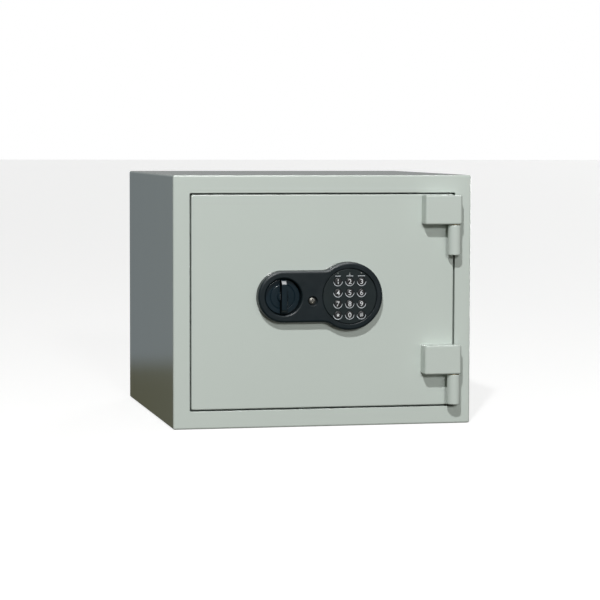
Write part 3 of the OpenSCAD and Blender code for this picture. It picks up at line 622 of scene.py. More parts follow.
def inset_rect(side, top, r, depth, steps=6):
    """Rounded rectangle that lies [side, top] in from the cabinet's outside."""
    return at_depth(rounded_rect(-WIDTH / 2 + side, WIDTH / 2 - side, top, HEIGHT - top, r, steps), depth)


def outer_shell():
    loops = [inset_rect(0.7, 0.7, SHELL_CORNER - 0.7, DEPTH)]
    loops += [inset_rect(0, 0, SHELL_CORNER, DEPTH - 0.7)]
    loops += [inset_rect(i, i, SHELL_CORNER - i * 0.9, d) for i, d in fillet(2.8)]
    loops += [inset_rect(FRAME_SIDE - rest, FRAME_TOP - rest, 2 + rest, d) for d, rest in fillet(0.9, 4)]
    loops += [inset_rect(FRAME_SIDE, FRAME_TOP, 2, SHEET)]
    loops += [inset_rect(SHEET, SHEET, SHELL_CORNER - SHEET + 0.5, d) for d in (SHEET, DEPTH)]
    shell = Builder().loft(loops, joined=True).object()
    for x in ANCHOR_X:
        bore(shell, [(0, -4), (7.3, -4), (7.3, 0.0), (6.5, 0.8), (6.5, 5), (0, 5)], (x, -FRONT), "z")
    piece(shell, "outer_shell", "cabinet", "shell_paint", "shell")


def back_panel():
    """Rear sheet with a folded rim that slips into the shell."""
    outside = SHEET + 0.35
    inside = outside + SHEET
    rim_front = DEPTH - SHEET - 12
    loops = [inset_rect(inside, inside, 1.0, d) for d in (DEPTH - SHEET, rim_front)]
    loops += [inset_rect(outside, outside, 1.2, rim_front)]
    loops += [inset_rect(outside + i, outside + i, 1.2, DEPTH - d) for i, d in fillet(1.0, 5)]
    panel = Builder().loft(loops).object()
    for x in ANCHOR_X:
        bore(panel, [(0, DEPTH - 5), (6.5, DEPTH - 5), (6.5, DEPTH - 0.8), (7.3, DEPTH), (7.3, DEPTH + 3),
                     (0, DEPTH + 3)], (x, REAR_ANCHOR_Z))
    piece(panel, "back_panel", "cabinet", "shell_paint", "shell")


def floor_mat():
    """Felt cut with soft edges, lying on the liner, with a cut-out over each anchor hole."""
    low, high = cad("floor_mat")
    y0, y1 = low.y - FRONT, high.y - FRONT

    def loop(inset, z):
        outline = rounded_rect(low.x + inset, high.x - inset, y0 + inset, y1 - inset, 7 - inset)
        return [(x, FRONT + y, z) for x, y in outline]

    loops = [loop(0.5, low.z), loop(0, low.z + 0.5)] + [loop(i, high.z - rise) for i, rise in fillet(1.3)]
    mat = Builder().loft(loops).object()
    for x in ANCHOR_X:
        bore(mat, [(0, low.z - 2), (10.5, low.z - 2), (10.5, high.z - 0.8), (11.3, high.z),
                   (11.3, high.z + 2), (0, high.z + 2)], (x, -FRONT), "z")
    mat = piece(mat, "floor_mat", "cabinet", "mat_felt", "felt")


def fold_outline(points, thickness, radius):
    """Closed outline of a folded sheet whose outer face follows the points, to the left of its path."""
    def offset(distance):
        made = []
        for i, (x, y) in enumerate(points):
            if 0 < i < len(points) - 1:
                before = Vector(points[i]) - Vector(points[i - 1])
                after = Vector(points[i + 1]) - Vector(points[i])
                before.normalize()
                after.normalize()
                turn = before.x * after.y - before.y * after.x
                r = radius + (distance if turn < 0 else thickness - distance)
                n1, n2 = Vector((-before.y, before.x)), Vector((-after.y, after.x))
                corner = Vector((x, y)) + (n1 + n2) * distance
                side = 1 if turn > 0 else -1
                centre = corner + (n1 + n2) * (side * r)
                a0 = math.degrees(math.atan2(-side * n1.y, -side * n1.x))
                a1 = a0 + 90 * side
                made += arc(centre.x, centre.y, r, a0, a1, 6)
            else:
                j = i + 1 if i == 0 else i
                step = Vector(points[j]) - Vector(points[j - 1])
                step.normalize()
                made.append((x - step.y * distance, y + step.x * distance))
        return made
    return offset(0) + offset(thickness)[::-1]


def shelf():
    low, high = cad("shelf")
    top = low.z + 15.5
    path = [(low.y + 10, low.z), (low.y, low.z), (low.y, top), (high.y, top), (high.y, high.z)]
    outline = fold_outline(path, -1.5, 0.8)
    loops = [[(x, y, z) for y, z in outline] for x in (low.x, high.x)]
    piece(Builder().loft(loops), "shelf", "cabinet", "liner_paint", "liner", bevel=0.25)


def hinge_bars(bases, height, edge, outline):
    """Upright bars about the hinge axis with both ends rounded, one on each base."""
    made = Builder()
    for low in bases:
        made.loft([[(HINGE_X + x, HINGE_Y + y, z) for x, y in outline(i)]
                   for i, z in round_ends(low, low + height, edge)])
    return made.object()


def hinge_block_outline(inset):
    """Plan of a block round its axis: square at the left, rounded to turn at the right, flat on the door."""
    left, front, right = inset - BLOCK_LEFT, inset - BLOCK_FRONT, BLOCK_RIGHT - inset
    r = BLOCK_TURN_R - inset
    step_y = HINGE_FORWARD - 1
    back_arc_y = min(step_y, r - 0.4)
    corner = 3.6 - inset * 0.8
    start = math.degrees(math.atan2(front, math.sqrt(r * r - front * front)))
    side_y = math.sqrt(r * r - right * right)
    side = math.degrees(math.atan2(side_y, right))
    end = math.degrees(math.atan2(back_arc_y, math.sqrt(r * r - back_arc_y * back_arc_y)))
    points = [(left, HINGE_FORWARD)]
    points += arc(left + corner, front + corner, corner, 180, 270, 6)
    points += arc(0, 0, r, start, -side, 4)
    points += arc(0, 0, r, side, end, 4)
    points += [(0, step_y), (0, HINGE_FORWARD)]
    return points


def hinge_blocks():
    blocks = hinge_bars(BLOCK_BASES, BLOCK_H, 2.6, hinge_block_outline)
    hole_r = PIN_R + 0.06
    for low in BLOCK_BASES:
        bore(blocks, [(0, low - 3), (PIN_R + 0.9, low - 3), (PIN_R + 0.9, low), (hole_r, low + 0.8),
                      (hole_r, low + BLOCK_H - 8), (0, low + BLOCK_H - 6)], HINGE_AXIS, "z")
    piece(blocks, "hinge_blocks", "door", "hinge_paint", "hinge")


def knuckle_outline(inset, steps=40):
    """Plan of a knuckle: a round barrel with a web back to the frame along its right side."""
    r = KNUCKLE_R - inset
    join = math.degrees(math.atan2(math.sqrt(r * r - KNUCKLE_WEB ** 2), KNUCKLE_WEB))
    return [(r, HINGE_FORWARD)] + arc(0, 0, r, 0, join - 360, steps) + [(KNUCKLE_WEB, HINGE_FORWARD)]


def hinge_knuckles():
    knuckles = hinge_bars(KNUCKLE_BASES, KNUCKLE_H, 1.5, knuckle_outline)
    for low in KNUCKLE_BASES:
        top = low + KNUCKLE_H
        bore(knuckles, [(0, low + 5.5), (PIN_R, low + 6), (PIN_R, top - 0.6), (PIN_R + 0.8, top + 0.2),
                        (PIN_R + 0.8, top + 3), (0, top + 3)], HINGE_AXIS, "z")
    piece(knuckles, "hinge_knuckles", "cabinet", "hinge_paint", "hinge")


# ---- Door ----


def door_loop(inset, depth, r=2.0):
    return inset_loop(DOOR_LOW, DOOR_HIGH, inset, depth, r)


def door_skin():
    loops = [door_loop(DOOR_STEP + SHEET, d, 1) for d in (DOOR_PLATE, DOOR_BACK)]
    loops += [door_loop(DOOR_STEP + 0.6, DOOR_BACK), door_loop(DOOR_STEP, DOOR_BACK - 0.6)]
    loops += [door_loop(DOOR_STEP, DOOR_RIM_DEPTH + 0.4), door_loop(DOOR_STEP - 0.4, DOOR_RIM_DEPTH)]
    loops += [door_loop(0.5, DOOR_RIM_DEPTH), door_loop(0, DOOR_RIM_DEPTH - 0.5)]
    loops += [door_loop(i, d, 2.4 - i * 0.8) for i, d in fillet(1.9)]
    skin = Builder().loft(loops).object()
    for x, z, r in ((KNOB_X, LOCK_Z, 7), (SCREW_X, SCREW_Z, 2.5), (KEYPAD_X + 1, LOCK_Z + 26, 4)):
        drill(skin, r, -2, DOOR_PLATE + 2, (x, z), steps=32)
    piece(skin, "door_skin", "door", "door_paint", "door")


def door_seal():
    """Heat-swelling strip with a crowned face and two fine grooves, stuck round the rear plate."""
    low, high = cad("door_seal")
    d0, d1 = low.y - FRONT, high.y - FRONT
    crown = [(0, 0), (0, 0.55), (0.35, 0.85), (1.0, 0.97), (2.9, 1.0), (3.15, 0.72), (3.4, 1.0), (6.6, 1.0),
             (6.85, 0.72), (7.1, 1.0), (9.0, 0.97), (9.65, 0.85), (10, 0.55), (10, 0)]
    loops = [inset_loop(low, high, i, d0 + (d1 - d0) * rise, max(3 - i * 0.12, 0.5)) for i, rise in crown]
    piece(Builder().loft(loops, joined=True), "door_seal", "door", "seal_rubber", "seal")


def inner_cover():
    """Pressed cover with a rounded rear edge, a battery window, rails and its bolt openings."""
    low, high = COVER_LOW, COVER_HIGH
    sheet = 1.5
    levels = [(sheet, COVER_DEPTH - sheet, 2.5), (sheet, PLATE_BACK, 2.5), (0, PLATE_BACK, 4)]
    levels += [(i, COVER_DEPTH - rise, 4 - i * 0.4) for i, rise in fillet(3.0)]
    loops = [inset_loop(low, high, *level) for level in levels]
    cover = Builder().loft(loops).object()
    window = Builder().box((LID_LOW.x + 4, FRONT + COVER_DEPTH - 5, LID_LOW.z + 4),
                           (LID_HIGH.x - 4, FRONT + COVER_DEPTH + 2, LID_HIGH.z - 4))
    combine(cover, window.object())
    for z in BOLT_Z:
        for x0, x1, r in ((low.x - 3, low.x + 6, 9.8), (high.x - 6, high.x + 3, 8.3)):
            drill(cover, r, x0, x1, (BOLT_DEPTH, z), "x")
    for place in COVER_SCREWS:
        drill(cover, 2.2, COVER_DEPTH - 5, COVER_DEPTH + 3, place, steps=24)
    middle = (LID_LOW.x + LID_HIGH.x) / 2
    half = (LID_HIGH.x - LID_LOW.x) / 2 + 0.3
    lid_height = LID_HIGH.z - LID_LOW.z
    for side in (-1, 1):
        rail = [(3, 0), (3, 3.2), (2.2, 4), (-2, 4), (-2, 2.6), (-0.5, 2.6), (0, 2.1), (0, 0)]
        section = [(middle + side * (half + x), FRONT + COVER_DEPTH - 0.02 + y) for x, y in rail]
        ends = (LID_LOW.z - lid_height, LID_HIGH.z)
        strip = Builder().loft([[(x, y, z) for x, y in section] for z in ends])
        combine(cover, strip.object(), "UNION")
    piece(cover, "inner_cover", "door", "liner_paint", "liner", bevel=0.2)


def cover_screws():
    """Pan heads on the rear of the cover; their recesses face backwards."""
    made = Builder()
    head = [(0, -11.5), (1.2, -11.5), (2, -10.7), (2, 0), (4.1, 0), (4.2, 0.3), (4.15, 0.9), (3.7, 1.6),
            (2.8, 2.05), (1.5, 2.2), (0, 2.2)]
    for place in COVER_SCREWS:
        made.lathe([(r, COVER_DEPTH + d) for r, d in head], place, steps=32)
    screws = made.object()
    for x, z in COVER_SCREWS:
        cross_recess(screws, x, z, 2.3, 0.5, ((1.0, COVER_DEPTH + 3.2), (0.5, COVER_DEPTH + 0.7)))
    piece(screws, "cover_screws", "door", "zinc_steel", "zinc")


# ---- Escutcheon ----


def escutcheon_outline(inset=0.0):
    """Two lobes joined by a waist, drawn in by inset all round."""
    small, big, neck = SMALL_LOBE_R - inset, BIG_LOBE_R - inset, NECK_R + inset
    neck_x = LOBE_PITCH - math.sqrt((big + neck) ** 2 - (small + neck) ** 2)
    turn = math.degrees(math.atan2(small + neck, neck_x - LOBE_PITCH))
    upper = arc(LOBE_PITCH, 0, big, 0, turn, 44)
    upper += arc(neck_x, small + neck, neck, turn - 180, -90, 12)
    upper += arc(0, 0, small, 90, 180, 36)
    lower = [(x, -z) for x, z in upper[-2:0:-1]]
    return [(KNOB_X + x, LOCK_Z + z) for x, z in upper + lower]


def escutcheon():
    """Moulded housing, hollow behind, with the dish, a screw counterbore and the keypad's seat."""
    top = -ESC_H
    loops = [at_depth(escutcheon_outline(0.0), 0)]
    loops += [at_depth(escutcheon_outline(0.3 + i), top + rise) for i, rise in fillet(3.4, 8)]
    body = Builder().loft(loops).object()

    hollow_front = top + 3
    sections = ((3, 2), (3, hollow_front + 2), (4.5, hollow_front))
    hollow = Builder().loft([at_depth(escutcheon_outline(inset), d) for inset, d in sections]).object()
    for centre, r in ((KNOB_CENTRE, DISH_R + 2.5), (SCREW_CENTRE, 9.5)):
        drill(hollow, r, hollow_front - 1, 3, centre, steps=72)
    drill(hollow, FASCIA_R + 3, hollow_front - 1, hollow_front + 3, KEYPAD_CENTRE, steps=96)
    combine(body, hollow)

    dish = rounded_mouth(DISH_R, 2.3, top, 8)
    dish += [(DISH_R, -3.2)] + [(DISH_R - 1.2 + c, -3.2 + s) for c, s in arc(0, 0, 1.2, 0, 90, 4)] + [(0, -2)]
    bore(body, dish, KNOB_CENTRE, steps=96)
    drill(body, 7, -6, 2, KNOB_CENTRE)
    screw_hole = rounded_mouth(7, 0.5, top, 3) + [(7, -8.5), (2.7, -8.5), (2.7, 2), (0, 2)]
    bore(body, screw_hole, SCREW_CENTRE, steps=64)
    well_r = FASCIA_R + FASCIA_GAP
    well = rounded_mouth(well_r, 0.7, top, 4)
    well += [(well_r, SEAT_DEPTH), (LEDGE_R, SEAT_DEPTH), (LEDGE_R, 2), (0, 2)]
    bore(body, well, KEYPAD_CENTRE, steps=120)
    piece(body, "escutcheon", "door", "escutcheon_plastic", "escutcheon", angle=28)


def escutcheon_screw():
    low = SCREW_LOW.y - FRONT
    profile = [(0, low), (3.4, low + 0.06), (4.3, low + 0.3), (4.8, low + 0.8), (5, low + 1.6), (5, low + 3),
               (2.5, low + 3), (2.5, 2.5), (1.9, 3), (0, 3)]
    screw = Builder().lathe(profile, SCREW_CENTRE, steps=48).object()
    cross_recess(screw, SCREW_X, SCREW_Z, 3.4, 0.95, ((1.0, low - 1.0), (0.6, low + 2.1)))
    piece(screw, "escutcheon_screw", "door", "screw_steel", "screw")


# ---- Keypad ----

KEYS = ("key_1", "key_2", "key_3", "key_4", "key_5", "key_6", "key_7", "key_8", "key_9", "key_star", "key_0",
        "key_hash")
SIGNS = {"key_star": "*", "key_hash": "#"}
KEY_R = 5.3
KEY_FLANGE = 0.6
DIGIT_HEIGHT = 7.0


def key_centre(node):
    low, high = cad(node)
    return (low.x + high.x) / 2, (low.z + high.z) / 2


def keypad_fascia():
    """Round plate with a softened edge and a rounded mouth round every key."""
    profile = [(0, SEAT_DEPTH), (FASCIA_R, SEAT_DEPTH)]
    profile += [(FASCIA_R - i, FASCIA_DEPTH + rise) for i, rise in fillet(0.7, 4)]
    profile += [(0, FASCIA_DEPTH)]
    plate = Builder().lathe(profile, KEYPAD_CENTRE, steps=120).object()
    hole_r, past = KEY_R + 0.35, 2
    hole = rounded_mouth(hole_r, 0.25, FASCIA_DEPTH, 4, past)
    hole += [(hole_r, SEAT_DEPTH + past), (0, SEAT_DEPTH + past)]
    for node in KEYS:
        bore(plate, hole, key_centre(node))
    for node in KEYS[:3]:
        centre = (key_centre(node)[0], LENS_Z)
        drill(plate, LENS_R + 0.05, FASCIA_DEPTH - past, SEAT_DEPTH + past, centre, steps=24)
    piece(plate, "keypad_fascia", "door", "fascia_plastic", "fascia")


def keypad_print_and_highlight():
    """Crescents under the lower half of each key, a painted highlight of each key's lower rim, and a plain
    printed bar under each light, all as thin raised ink.
    """
    made = Builder()
    steps = 36
    outer_r = 6.5

    def ink(outline):
        made.loft([at_depth(outline, d) for d in (FASCIA_DEPTH + 0.1, FASCIA_DEPTH - 0.07)])

    # Crescent under each key's lower half, thickest at the bottom: a painted highlight of the key's lower rim
    # where light from above catches it.
    for node in KEYS:
        x, z = key_centre(node)
        outer, inner = [], []
        for i in range(steps + 1):
            angle = math.radians(176 + 188 * i / steps)
            thick = 0.15 + 0.95 * math.sin(math.pi * i / steps) ** 0.6
            outer.append((x + outer_r * math.cos(angle), z + outer_r * math.sin(angle)))
            inner.append((x + (outer_r - thick) * math.cos(angle), z + (outer_r - thick) * math.sin(angle)))
        ink(outer + inner[::-1])
    top = key_centre(KEYS[0])[1]
    bar_z = (LENS_Z + top) / 2 + 2.0
    for node, width in zip(KEYS[:3], (7.8, 9.7, 10.4)):
        x = key_centre(node)[0]
        ink(rounded_rect(x - width / 2, x + width / 2, bar_z - 0.42, bar_z + 0.42, 0.3, 3))
    x = key_centre(KEYS[1])[0]
    ink([(x - 1.5, bar_z + 1.0), (x + 1.5, bar_z + 1.0), (x, bar_z + 2.6)])
    piece(made, "keypad_print_and_highlight", "door", "key_plastic", "print_and_highlight", replaces=False)


def sign_mesh(text, height):
    """Flat faces of a digit, centred on (0, 0), as (points, faces, edges of its rim)."""
    curve = bpy.data.curves.new("sign", "FONT")
    curve.body = text
    curve.size = 1.0
    curve.offset = 0.004
    curve.resolution_u = 6
    obj = put("sign", curve)
    graph = bpy.context.evaluated_depsgraph_get()
    mesh = bpy.data.meshes.new_from_object(obj.evaluated_get(graph))
    low = Vector([min(v.co[i] for v in mesh.vertices) for i in (0, 1)])
    high = Vector([max(v.co[i] for v in mesh.vertices) for i in (0, 1)])
    scale = height / (high.y - low.y)
    centre = (low + high) / 2
    flat = bmesh.new()
    flat.from_mesh(mesh)
    bmesh.ops.remove_doubles(flat, verts=flat.verts, dist=1e-4)
    points = [((v.co.x - centre.x) * scale, (v.co.y - centre.y) * scale) for v in flat.verts]
    faces = [[v.index for v in f.verts] for f in flat.faces]
    rim = [(e.verts[0].index, e.verts[1].index) for e in flat.edges if len(e.link_faces) == 1]
    flat.free()
    bpy.data.objects.remove(obj)
    bpy.data.meshes.remove(mesh)
    bpy.data.curves.remove(curve)
    return points, faces, rim


def star_points(r, inner):
    return [((r if i % 2 == 0 else inner) * math.sin(math.pi * i / 5),
             (r if i % 2 == 0 else inner) * math.cos(math.pi * i / 5)) for i in range(10)]


def cap_depth(r, front, rise, edge):
    return front + rise * min((r / edge) ** 2, 1.0)


def keypad_key(node):
    """Cap with a low dome, its flange behind the fascia, and its sign printed on the dome."""
    x, z = key_centre(node)
    low, high = cad(node)
    front, back = low.y - FRONT, high.y - FRONT
    edge_r, flange_r = KEY_R - 0.7, KEY_R + KEY_FLANGE
    dome_front, rise = front + 0.1, 0.16
    dome = [(edge_r * i / 5, cap_depth(edge_r * i / 5, dome_front, rise, edge_r)) for i in range(6)]
    shoulder = [(KEY_R - 0.7 + 0.7 * math.sin(a), dome_front + rise + 0.7 * (1 - math.cos(a)))
                for a in map(math.radians, (22, 45, 67, 90))]
    profile = dome + shoulder + [(KEY_R, back - 1.1), (flange_r - 0.15, back - 1.1), (flange_r, back - 0.95),
                                 (flange_r, back - 0.15), (flange_r - 0.15, back), (0, back)]
    made = Builder().lathe(profile, (x, z), steps=48)
    if node == "key_star":
        points = star_points(2.7, 1.25)
        faces, rim = [list(range(10))], [(i, (i + 1) % 10) for i in range(10)]
    else:
        height = DIGIT_HEIGHT * (0.8 if node == "key_hash" else 1.0)
        points, faces, rim = sign_mesh(SIGNS.get(node, node[-1]), height)
    count = len(points)
    ink, verts = 0.09, []
    for lift in (-ink, ink):
        verts += [(x + u, FRONT + cap_depth(math.hypot(u, v), dome_front, rise, edge_r) + lift, z + v)
                  for u, v in points]
    sides = [(a, b, b + count, a + count) for a, b in rim]
    made.add(verts, faces + [[i + count for i in f[::-1]] for f in faces] + sides, 1)
    piece(made, node, node, "key_plastic", "key", "digit")


def indicator_lenses():
    made = Builder()
    low, high = LENS_LOW.y - FRONT, LENS_HIGH.y - FRONT
    for node in KEYS[:3]:
        dome = [(LENS_R * math.sin(a), low + 0.45 * (1 - math.cos(a)))
                for a in map(math.radians, (0, 18, 36, 54, 72, 90))]
        made.lathe(dome + [(LENS_R, high), (0, high)], (key_centre(node)[0], LENS_Z), steps=24)
    piece(made, "indicator_lenses", "door", "lens_plastic", "lens")


def contact_mat():
    """Silicone sheet with a collapsing dome behind every key."""
    low, high = cad("contact_mat")
    front, back = low.y - FRONT, high.y - FRONT
    r = (high.x - low.x) / 2
    made = Builder().lathe([(0, back), (r - 0.3, back), (r, back - 0.3), (r, front + 0.3), (r - 0.3, front),
                            (0, front)], KEYPAD_CENTRE, steps=96)
    for node in KEYS:
        dome = [(0, -0.3), (2.0, -0.3), (2.5, -0.15), (3.4, 0.2), (3.4, 0.5), (0, 0.5)]
        made.lathe([(dome_r, front + d) for dome_r, d in dome], key_centre(node), steps=32)
    piece(made, "contact_mat", "door", "silicone_rubber", "silicone")


# ---- Knob ----


def knob():
    """Turned disc with a ring groove and a hub, and a moulded blade across it."""
    disc_front, disc_r = -5.5, DISH_R - 1.5
    profile = [(0, -2.5), (disc_r - 0.4, -2.5), (disc_r, -2.9)]
    profile += [(disc_r - i, disc_front + rise) for i, rise in fillet(0.9, 5)]
    groove = [(18.3, 0), (18.1, 0.1), (17.5, 0.8), (17.3, 0.8), (16.7, 0.1), (16.5, 0)]
    hub = [(7.9, 0), (7.6, -0.3), (7.3, -2.2), (6.9, -2.7), (0, -2.7)]
    profile += [(r, disc_front + d) for r, d in groove + hub]
    made = Builder().lathe(profile, KNOB_CENTRE, steps=96).object()
    blade = [(17.4, -19.3), (18.0, -19.2), (18.7, -18.7), (23.1, -13.7), (23.7, -12.8), (23.9, -11.8),
             (24, -5.3)]
    blade = [(-z, d) for z, d in reversed(blade)] + blade
    half = 3.8
    loops = []
    for inset, x in round_ends(-half, half, 0.8, 5):
        shrink = 1 - inset / blade[-1][0]
        loops.append([(KNOB_X + x, FRONT + (d + inset if d < disc_front else d), LOCK_Z + z * shrink)
                      for z, d in blade])
    combine(made, Builder().loft(loops).object(), "UNION")
    stem = Builder().lathe([(0, -4), (6.2, -4), (6.2, -0.3), (5.9, 0), (0, 0)], KNOB_CENTRE, steps=48)
    combine(made, stem.object(), "UNION")
    square = Builder().box((KNOB_X - 4, FRONT - 9, LOCK_Z - 4), (KNOB_X + 4, FRONT + 2, LOCK_Z + 4))
    combine(made, square.object())
    # The blade's two sides take the darker, matt copy of the knob plastic: painted shade on the sides.
    for polygon in made.data.polygons:      # the blade's two sides are matt
        if abs(polygon.normal.x) > 0.9 and abs(polygon.center.x - KNOB_X * MM) < half * MM * 1.1:
            polygon.material_index = 1
    piece(made, "knob", "knob_shaft", "knob_plastic", "knob", "knob_side_painted_shade", angle=30)


# ---- Inside the door ----


def batteries():
    """Round cells: sleeve with rolled ends, a contact button at one end and a flat pad at the other."""
    made = Builder()
    pitch, r, half = 15, 7.1, 25.25
    middle_x, middle_z = (CELLS_LOW.x + CELLS_HIGH.x) / 2, (CELLS_LOW.z + CELLS_HIGH.z) / 2
    depth = (CELLS_LOW.y + CELLS_HIGH.y) / 2 - FRONT
    for i in range(4):
        x = middle_x + (i - 1.5) * pitch
        up = 1 if i % 2 == 0 else -1
        sleeve = [(5.6, -half + 0.35), (6.3, -half), (6.8, -half + 0.15), (r, -half + 0.6), (r, half - 0.6),
                  (6.8, half - 0.15), (6.3, half), (5.6, half - 0.35)]
        made.lathe([(a, middle_z + up * t) for a, t in sleeve], (x, depth), axis="z", steps=40)
        can = [(0, -half + 0.1), (4.6, -half + 0.1), (5.0, -half + 0.4), (6.0, -half + 0.4),
               (6.0, half - 0.4), (3.2, half - 0.4), (2.8, half - 0.1), (2.6, half + 0.6), (2.3, half + 0.9),
               (0, half + 0.9)]
        made.lathe([(a, middle_z + up * t) for a, t in can], (x, depth), axis="z", steps=40, finish=1)
    piece(made, "batteries", "door", "cell_wrap", "cell", "cell_end")


def battery_lid():
    """Sliding lid with softened edges and four finger ridges."""
    front, back = LID_LOW.y - FRONT, LID_HIGH.y - FRONT - 1
    levels = [(0, front)] + [(i, back - rise) for i, rise in fillet(0.6, 4)]
    made = Builder().loft([inset_loop(LID_LOW, LID_HIGH, i, d, 1.6 - i) for i, d in levels])
    middle = (LID_LOW.x + LID_HIGH.x) / 2
    for k in range(4):
        z = LID_HIGH.z - 18 + 3.5 * k
        loops = []
        for i, d in ((0, -0.3), (0, 0.55), (0.15, 0.85), (0.4, 1.0)):
            ridge = rounded_rect(middle - 15 + i, middle + 15 - i, z + i, z + 1.5 - i, 0.72 - i * 0.9, 4)
            loops.append(at_depth(ridge, back + d))
        made.loft(loops)
    piece(made, "battery_lid", "battery_hatch", "case_plastic", "case")


def pin_spring():
    """Coil spring between the solenoid and the pin's collar."""
    low, high = cad("pin_spring")
    x0, y0 = (low.x + high.x) / 2, (low.y + high.y) / 2
    wire = 0.5
    r = (high.x - low.x) / 2 - wire
    z0, z1 = low.z + wire, high.z - wire
    turns, per_turn, sides = 4, 28, 10
    centres = []
    for i in range(turns * per_turn + 1):
        share = i / (turns * per_turn)
        angle = 2 * math.pi * turns * share
        centres.append(Vector((x0 + r * math.cos(angle), y0 + r * math.sin(angle), z0 + (z1 - z0) * share)))
    loops = []
    for i, centre in enumerate(centres):
        ahead = (centres[min(i + 1, len(centres) - 1)] - centres[max(i - 1, 0)]).normalized()
        out = Vector((centre.x - x0, centre.y - y0, 0)).normalized()
        side = ahead.cross(out)
        loops.append([tuple(centre + wire * (math.cos(a) * out + math.sin(a) * side))
                      for a in [2 * math.pi * k / sides for k in range(sides)]])
    piece(Builder().loft(loops), "pin_spring", "door", "zinc_steel", "zinc", angle=60)


outer_shell()
back_panel()
floor_mat()
shelf()
hinge_blocks()
hinge_knuckles()
door_skin()
door_seal()
inner_cover()
cover_screws()
escutcheon()
escutcheon_screw()
keypad_fascia()
keypad_print_and_highlight()
for key_node in KEYS:
    keypad_key(key_node)
indicator_lenses()
contact_mat()
knob()
batteries()
battery_lid()
pin_spring()

DRESSED = {
    "shell": (("door_frame", 0.5),),
    "liner": (("inner_liner", 0.5), ("door_back_plate", 0.5)),
    "fill": (("body_insulation", 0.0), ("door_insulation", 0.0)),
    "zinc": (("strike_boxes", 0.3), ("anchor_sleeves", 0.3), ("shelf_brackets", 0.4), ("bolt_guides", 0.4),
             ("guide_studs", 0.3), ("cover_posts", 0.3), ("lock_screws", 0.2), ("spindle", 0.4),
             ("crank", 0.4), ("spindle_clip", 0.15), ("bolt_carriage", 0.4), ("bolt_nuts", 0.4),
             ("locking_pin", 0.3)),
    "pin": (("hinge_pins", 0.5),),
    "bolt": (("fixed_bolts", 0.8), ("locking_bolts", 0.3)),
    "brass": (("hinge_washers", 0.15), ("spindle_bush", 0.3)),
    "board": (("keypad_board", 0.15),),
    "case": (("lock_case", 0.6), ("battery_box", 0.4)),
    "coil": (("solenoid_coil", 0.2),),
    "cable": (("lock_cables", 0.0),),
}
for look, nodes in DRESSED.items():
    for node_name, width in nodes:
        dress(node_name, look, width)

# ---- Studio ----

scene = bpy.context.scene
scene.view_settings.view_transform = "Standard"


def floor():
    """Large pale floor that glows a little, so that it reads as a white studio sweep."""
    half = 40.0
    mesh = bpy.data.meshes.new("floor")
    corners = [(-half, -half, 0), (half, -half, 0), (half, half, 0), (-half, half, 0)]
    mesh.from_pydata(corners, [], [(0, 1, 2, 3)])
    obj = put("floor", mesh)
    obj.location.z = -0.0003
    m = Finish("floor", roughness=0.9)
    m.colour((0.34, 0.34, 0.34)).set(Emission_Color=(1.0, 1.0, 1.0, 1.0), Emission_Strength=0.74)
    mesh.materials.append(m.material)
    obj.visible_glossy = False
    obj.visible_diffuse = False


def turn_back(obj, direction, roll=0.0):
    """Turns a lamp or a camera that stands in a direction from the object so that it looks back at it."""
    obj.rotation_mode = "QUATERNION"
    obj.rotation_quaternion = (-direction).to_track_quat("-Z", "Y") @ Quaternion((0, 0, 1), roll)


def sun(name, direction, energy, angle, gloss=True):
    """Sun lamp whose light comes from a direction, given from the object towards the lamp."""
    data = bpy.data.lights.new(name, "SUN")
    data.energy = energy
    data.angle = math.radians(angle)
    obj = put(name, data)
    turn_back(obj, Vector(direction))
    obj.visible_glossy = gloss


def key_light():
    """Round lamp high in front, near enough to light the top of the door more than its foot."""
    data = bpy.data.lights.new("key_light", "POINT")
    data.energy = 370.0
    data.shadow_soft_size = 0.086
    obj = put("key_light", data)
    obj.location = (-0.95, -3.05, 2.78)


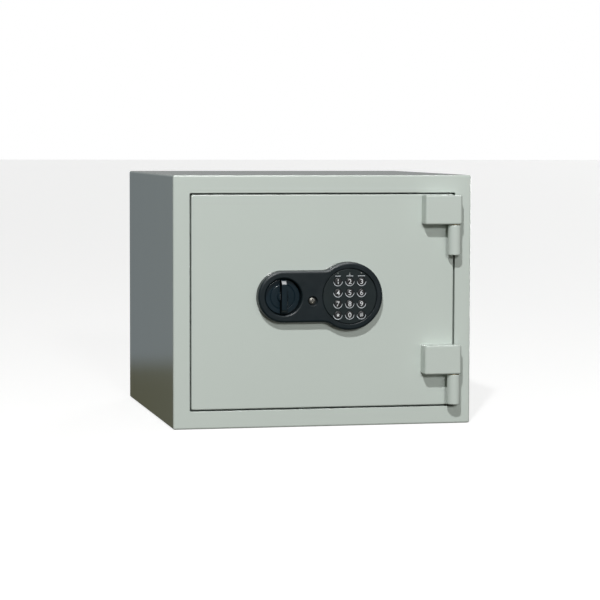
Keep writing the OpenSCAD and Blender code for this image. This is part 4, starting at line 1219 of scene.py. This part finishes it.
def world():
    """A white room to the camera, a dim one to diffuse light, and soft horizons to glossy light."""
    made = bpy.data.worlds.new("studio")
    scene.world = made
    made.cycles.sampling_method = "NONE"
    made.use_nodes = True
    tree = made.node_tree
    tree.nodes.clear()

    def ramp(source, stops):
        node = add_node(tree, "ShaderNodeValToRGB", {"Fac": source})
        elements = node.color_ramp.elements
        while len(elements) < len(stops):
            elements.new(0.5)
        for element, (position, colour) in zip(elements, stops):
            element.position = position
            element.color = (*colour, 1)
        return node.outputs["Color"]

    def background(colour):
        return add_node(tree, "ShaderNodeBackground", {"Color": colour}).outputs["Background"]

    def choose(factor, other, this):
        return add_node(tree, "ShaderNodeMixShader", {0: factor, 1: other, 2: this}).outputs["Shader"]

    place = add_node(tree, "ShaderNodeTexCoord").outputs["Generated"]
    split = add_node(tree, "ShaderNodeSeparateXYZ", {"Vector": place})
    across, up = [add_node(tree, "ShaderNodeMapRange", {"Value": split.outputs[axis], "From Min": -1.0,
                                                        "From Max": 1.0}).outputs["Result"] for axis in "XZ"]
    left = ramp(up, ((0.0, (0.03, 0.03, 0.02)), (0.4490, (0.070, 0.062, 0.022)),
                     (0.4518, (0.217, 0.252, 0.282)), (0.56, (0.217, 0.257, 0.282)),
                     (1.0, (0.34, 0.35, 0.36))))
    right = ramp(up, ((0.0, (0.05, 0.05, 0.04)), (0.49, (0.07, 0.07, 0.06)),
                      (0.50, (0.29, 0.30, 0.30)), (0.60, (0.27, 0.28, 0.29)), (1.0, (0.34, 0.35, 0.36))))
    side = ramp(across, ((0.44, (0, 0, 0)), (0.52, (1, 1, 1))))
    horizon = mix_colours(tree, side, left, right)

    rays = add_node(tree, "ShaderNodeLightPath").outputs
    room = choose(rays["Is Glossy Ray"], background((0.080, 0.078, 0.062)), background(horizon))
    shown = choose(rays["Is Camera Ray"], room, background((1, 1, 1)))
    add_node(tree, "ShaderNodeOutputWorld", {"Surface": shown})


def softbox():
    """Wide light high in front, seen only in gloss, that draws the bright lines along the upper edges."""
    aim = Vector((0, FRONT, HEIGHT / 2)) * MM
    elevation, distance = math.radians(75), 2.2
    wide, deep, radiance = 2.0, 2.0, 9.0
    data = bpy.data.lights.new("softbox", "AREA")
    data.shape = "RECTANGLE"
    data.size, data.size_y = wide, deep
    data.energy = radiance * math.pi * wide * deep
    obj = put("softbox", data)
    towards = Vector((-0.1, -math.cos(elevation), math.sin(elevation))).normalized()
    obj.location = aim + towards * distance
    turn_back(obj, towards)
    obj.visible_camera = False
    obj.visible_diffuse = False


def camera():
    """Camera a little to the left of the front and a little above the middle of the door."""
    azimuth, elevation, roll = math.radians(-12.46), math.radians(4.02), math.radians(0.155)
    distance = 3.228
    aim = Vector((-0.0345, FRONT * MM, 0.1796))
    data = bpy.data.cameras.new("camera")
    data.sensor_width = 36.0
    data.lens = 137.74
    data.clip_start, data.clip_end = 0.1, 200.0
    obj = put("camera", data)
    back = Vector((math.sin(azimuth) * math.cos(elevation), -math.cos(azimuth) * math.cos(elevation),
                   math.sin(elevation)))
    obj.location = aim + back * distance
    turn_back(obj, back, roll)
    scene.camera = obj


floor()
key_light()
sun("front_light", (0, -0.96, 0.28), 0.85, 6)
sun("broad_light", (0.25, -0.96, 0.10), 0.40, 40, gloss=False)
sun("rear_fill", (0.6, 1, 0.08), 1.25, 20)
softbox()
world()
camera()
